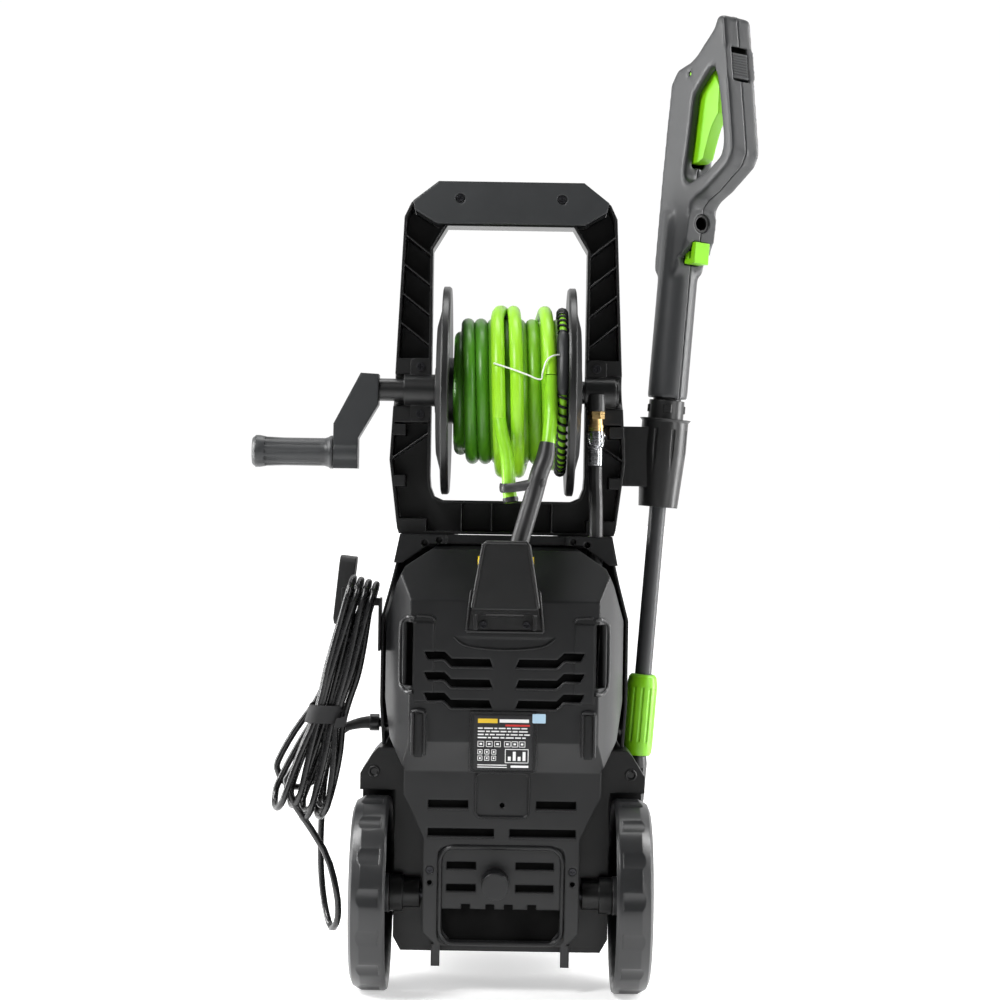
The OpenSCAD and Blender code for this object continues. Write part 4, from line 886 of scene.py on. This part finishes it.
def make_wing_bolts():
    """The bolt and its rim on each shoulder of the chassis."""
    parts = []
    for side in (-1, 1):
        x, z = side * BOLT_X, BOLT_Z
        ring = [Vector((x, -80.6, z)) * MM + Vector((math.cos(a), 0, math.sin(a))) * 0.0052
                for a in (2 * math.pi * k / 28 for k in range(28))]
        parts.append(tube(ring, 0.0012, 8, closed=True))
        parts.append(tube(metres([(x, -80.2, z), (x, -80.5, z)]), 0.0042, 20))
    mesh_piece("wing_bolts", joined(*parts), "machine", black_plastic)


def make_well_walls():
    """The wheel wells' inner faces, ahead of the wheels."""
    walls = [slab([(side * x, z) for x, z in ((104, 52), (126, 62), (126, 206), (104, 206))], 12, 14, 0.5)
             for side in (-1, 1)]
    mesh_piece("well_walls", joined(*walls), "machine", chassis_plastic)


def make_shade_sheets():
    """Near-black sheets inside the vents and the low opening, put there as painted shade so that the openings
    fall dark.
    """
    sheets = [
        slab([(-64, 50), (64, 50), (64, 98), (-64, 98)], LOW_Y + 8, LOW_Y + 9),
        slab([(-78, 100), (78, 100), (78, 204), (-78, 204)], LOW_Y + 6, LOW_Y + 7),
        slab([(-84, 296), (84, 296), (84, 352), (-84, 352)], COVER_Y + 7, COVER_Y + 8),
    ]
    mesh_piece("shade_sheets", joined(*sheets), "machine", shade_black)


make_cover_ribs()
make_shade_sheets()
make_well_walls()
make_hook_rims()
print_rows()
make_wing_bolts()


# ---------------------------------------------------------------- water fittings

def turned(profile, centre, axis, steps=40):
    """A profile of (radius, along) in millimetres, spun round an axis through the centre."""
    bm = bmesh.new()
    verts = [bm.verts.new((r * MM, 0, h * MM)) for r, h in profile]
    edges = [bm.edges.new(pair) for pair in zip(verts, verts[1:])]
    bmesh.ops.spin(bm, geom=verts + edges, cent=(0, 0, 0), axis=(0, 0, 1), dvec=(0, 0, 0),
                   angle=2 * math.pi, steps=steps, use_merge=True, use_normal_flip=False, use_duplicate=False)
    bmesh.ops.remove_doubles(bm, verts=bm.verts, dist=1e-6)
    bmesh.ops.recalc_face_normals(bm, faces=bm.faces)
    turn = Vector((0, 0, 1)).rotation_difference(Vector(axis)).to_matrix().to_4x4()
    bmesh.ops.transform(bm, matrix=Matrix.Translation(Vector(centre) * MM) @ turn, verts=bm.verts)
    return bm


def make_fittings():
    """The bright quick coupling, shaped inside its frame part's box, with its wire clip."""
    low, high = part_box("quick_coupling")
    x, y = (low.x + high.x) / 2 / MM, (low.y + high.y) / 2 / MM
    top, foot = high.z / MM, low.z / MM
    tall = top - foot
    r = min(high.x - low.x, high.y - low.y) / 2 / MM
    sleeve = turned([(0, 0), (r * 0.78, 0), (r * 0.8, 1), (r * 0.8, tall * 0.52), (r * 0.97, tall * 0.56),
                     (r * 0.99, tall * 0.6), (r * 0.99, tall * 0.9), (r * 0.9, tall), (0, tall)],
                    (x, y, foot), (0, 0, 1))
    mesh_piece("coupling_sleeve", sleeve, "machine", bright_steel, "quick_coupling")
    clip = smooth_line(metres([
        (x - r * 0.95, y - r * 0.2, top - 1), (x - r * 0.9, y - r * 0.75, top - 6),
        (x - r * 0.62, y - r * 0.98, top - tall * 0.42), (x, y - r * 1.06, top - tall * 0.52),
        (x + r * 0.62, y - r * 0.98, top - tall * 0.42), (x + r * 0.9, y - r * 0.75, top - 6),
        (x + r * 0.95, y - r * 0.2, top - 1)]), 5)
    mesh_piece("coupling_clip", tube(clip, 0.0008, 8), "machine", bright_steel)


make_fittings()


# ---------------------------------------------------------------- studio

def make_studio():
    """A white cove behind and below, darker towards the camera, with soft boxes either side of it."""
    bpy.ops.mesh.primitive_plane_add(size=160, location=(0, 40, 0))
    floor = bpy.context.object
    floor.name = "floor"
    pale, tree, surface = shader("pale_floor", (0.8, 0.8, 0.8), 0.7)
    surface.inputs["Emission Color"].default_value = (1, 1, 1, 1)
    where = node(tree, "ShaderNodeSeparateXYZ")
    tree.links.new(node(tree, "ShaderNodeTexCoord").outputs["Object"], where.inputs[0])
    near = spread(tree, where.outputs["Y"], 0.02, 0.5, -41.1, -40.3)
    far = spread(tree, where.outputs["Y"], 0.0, 0.5, -40.0, -37.0)
    both = node(tree, "ShaderNodeMath", operation="ADD")
    tree.links.new(near, both.inputs[0])
    tree.links.new(far, both.inputs[1])
    tree.links.new(both.outputs[0], surface.inputs["Emission Strength"])
    floor.data.materials.append(pale)

    world = bpy.data.worlds.new("studio")
    bpy.context.scene.world = world
    world.use_nodes = True
    tree = world.node_tree
    parts = node(tree, "ShaderNodeSeparateXYZ")
    tree.links.new(node(tree, "ShaderNodeTexCoord").outputs["Generated"], parts.inputs[0])
    glow = spread(tree, parts.outputs["Y"], 0.05, 1.02, -0.1, 0.5)
    tree.links.new(glow, tree.nodes["Background"].inputs["Strength"])
    tree.nodes["Background"].inputs["Color"].default_value = (1, 1, 1, 1)

    bpy.context.scene.view_settings.view_transform = "Standard"
    for name, place, aim, size, power in (
        ("key_box", (-1.3, -1.5, 2.1), (0, -0.1, 0.45), (0.7, 0.9), 52),
        ("fill_box", (1.9, -1.6, 1.0), (0, -0.1, 0.5), (0.25, 1.6), 20),
        ("left_strip", (-1.4, 0.1, 0.8), (0, 0, 0.5), (0.3, 1.7), 34),
        ("right_strip", (1.4, 0.1, 0.8), (0, 0, 0.5), (0.3, 1.7), 30),
        ("top_box", (0.1, 0.3, 2.4), (0, 0, 0.5), (1.2, 0.8), 18),
    ):
        lamp = bpy.data.objects.new(name, bpy.data.lights.new(name, "AREA"))
        bpy.context.scene.collection.objects.link(lamp)
        lamp.data.shape = "RECTANGLE"
        lamp.data.size, lamp.data.size_y = size
        lamp.data.energy = power
        lamp.location = place
        lamp.rotation_euler = (Vector(aim) - Vector(place)).to_track_quat("-Z", "Y").to_euler()


make_studio()
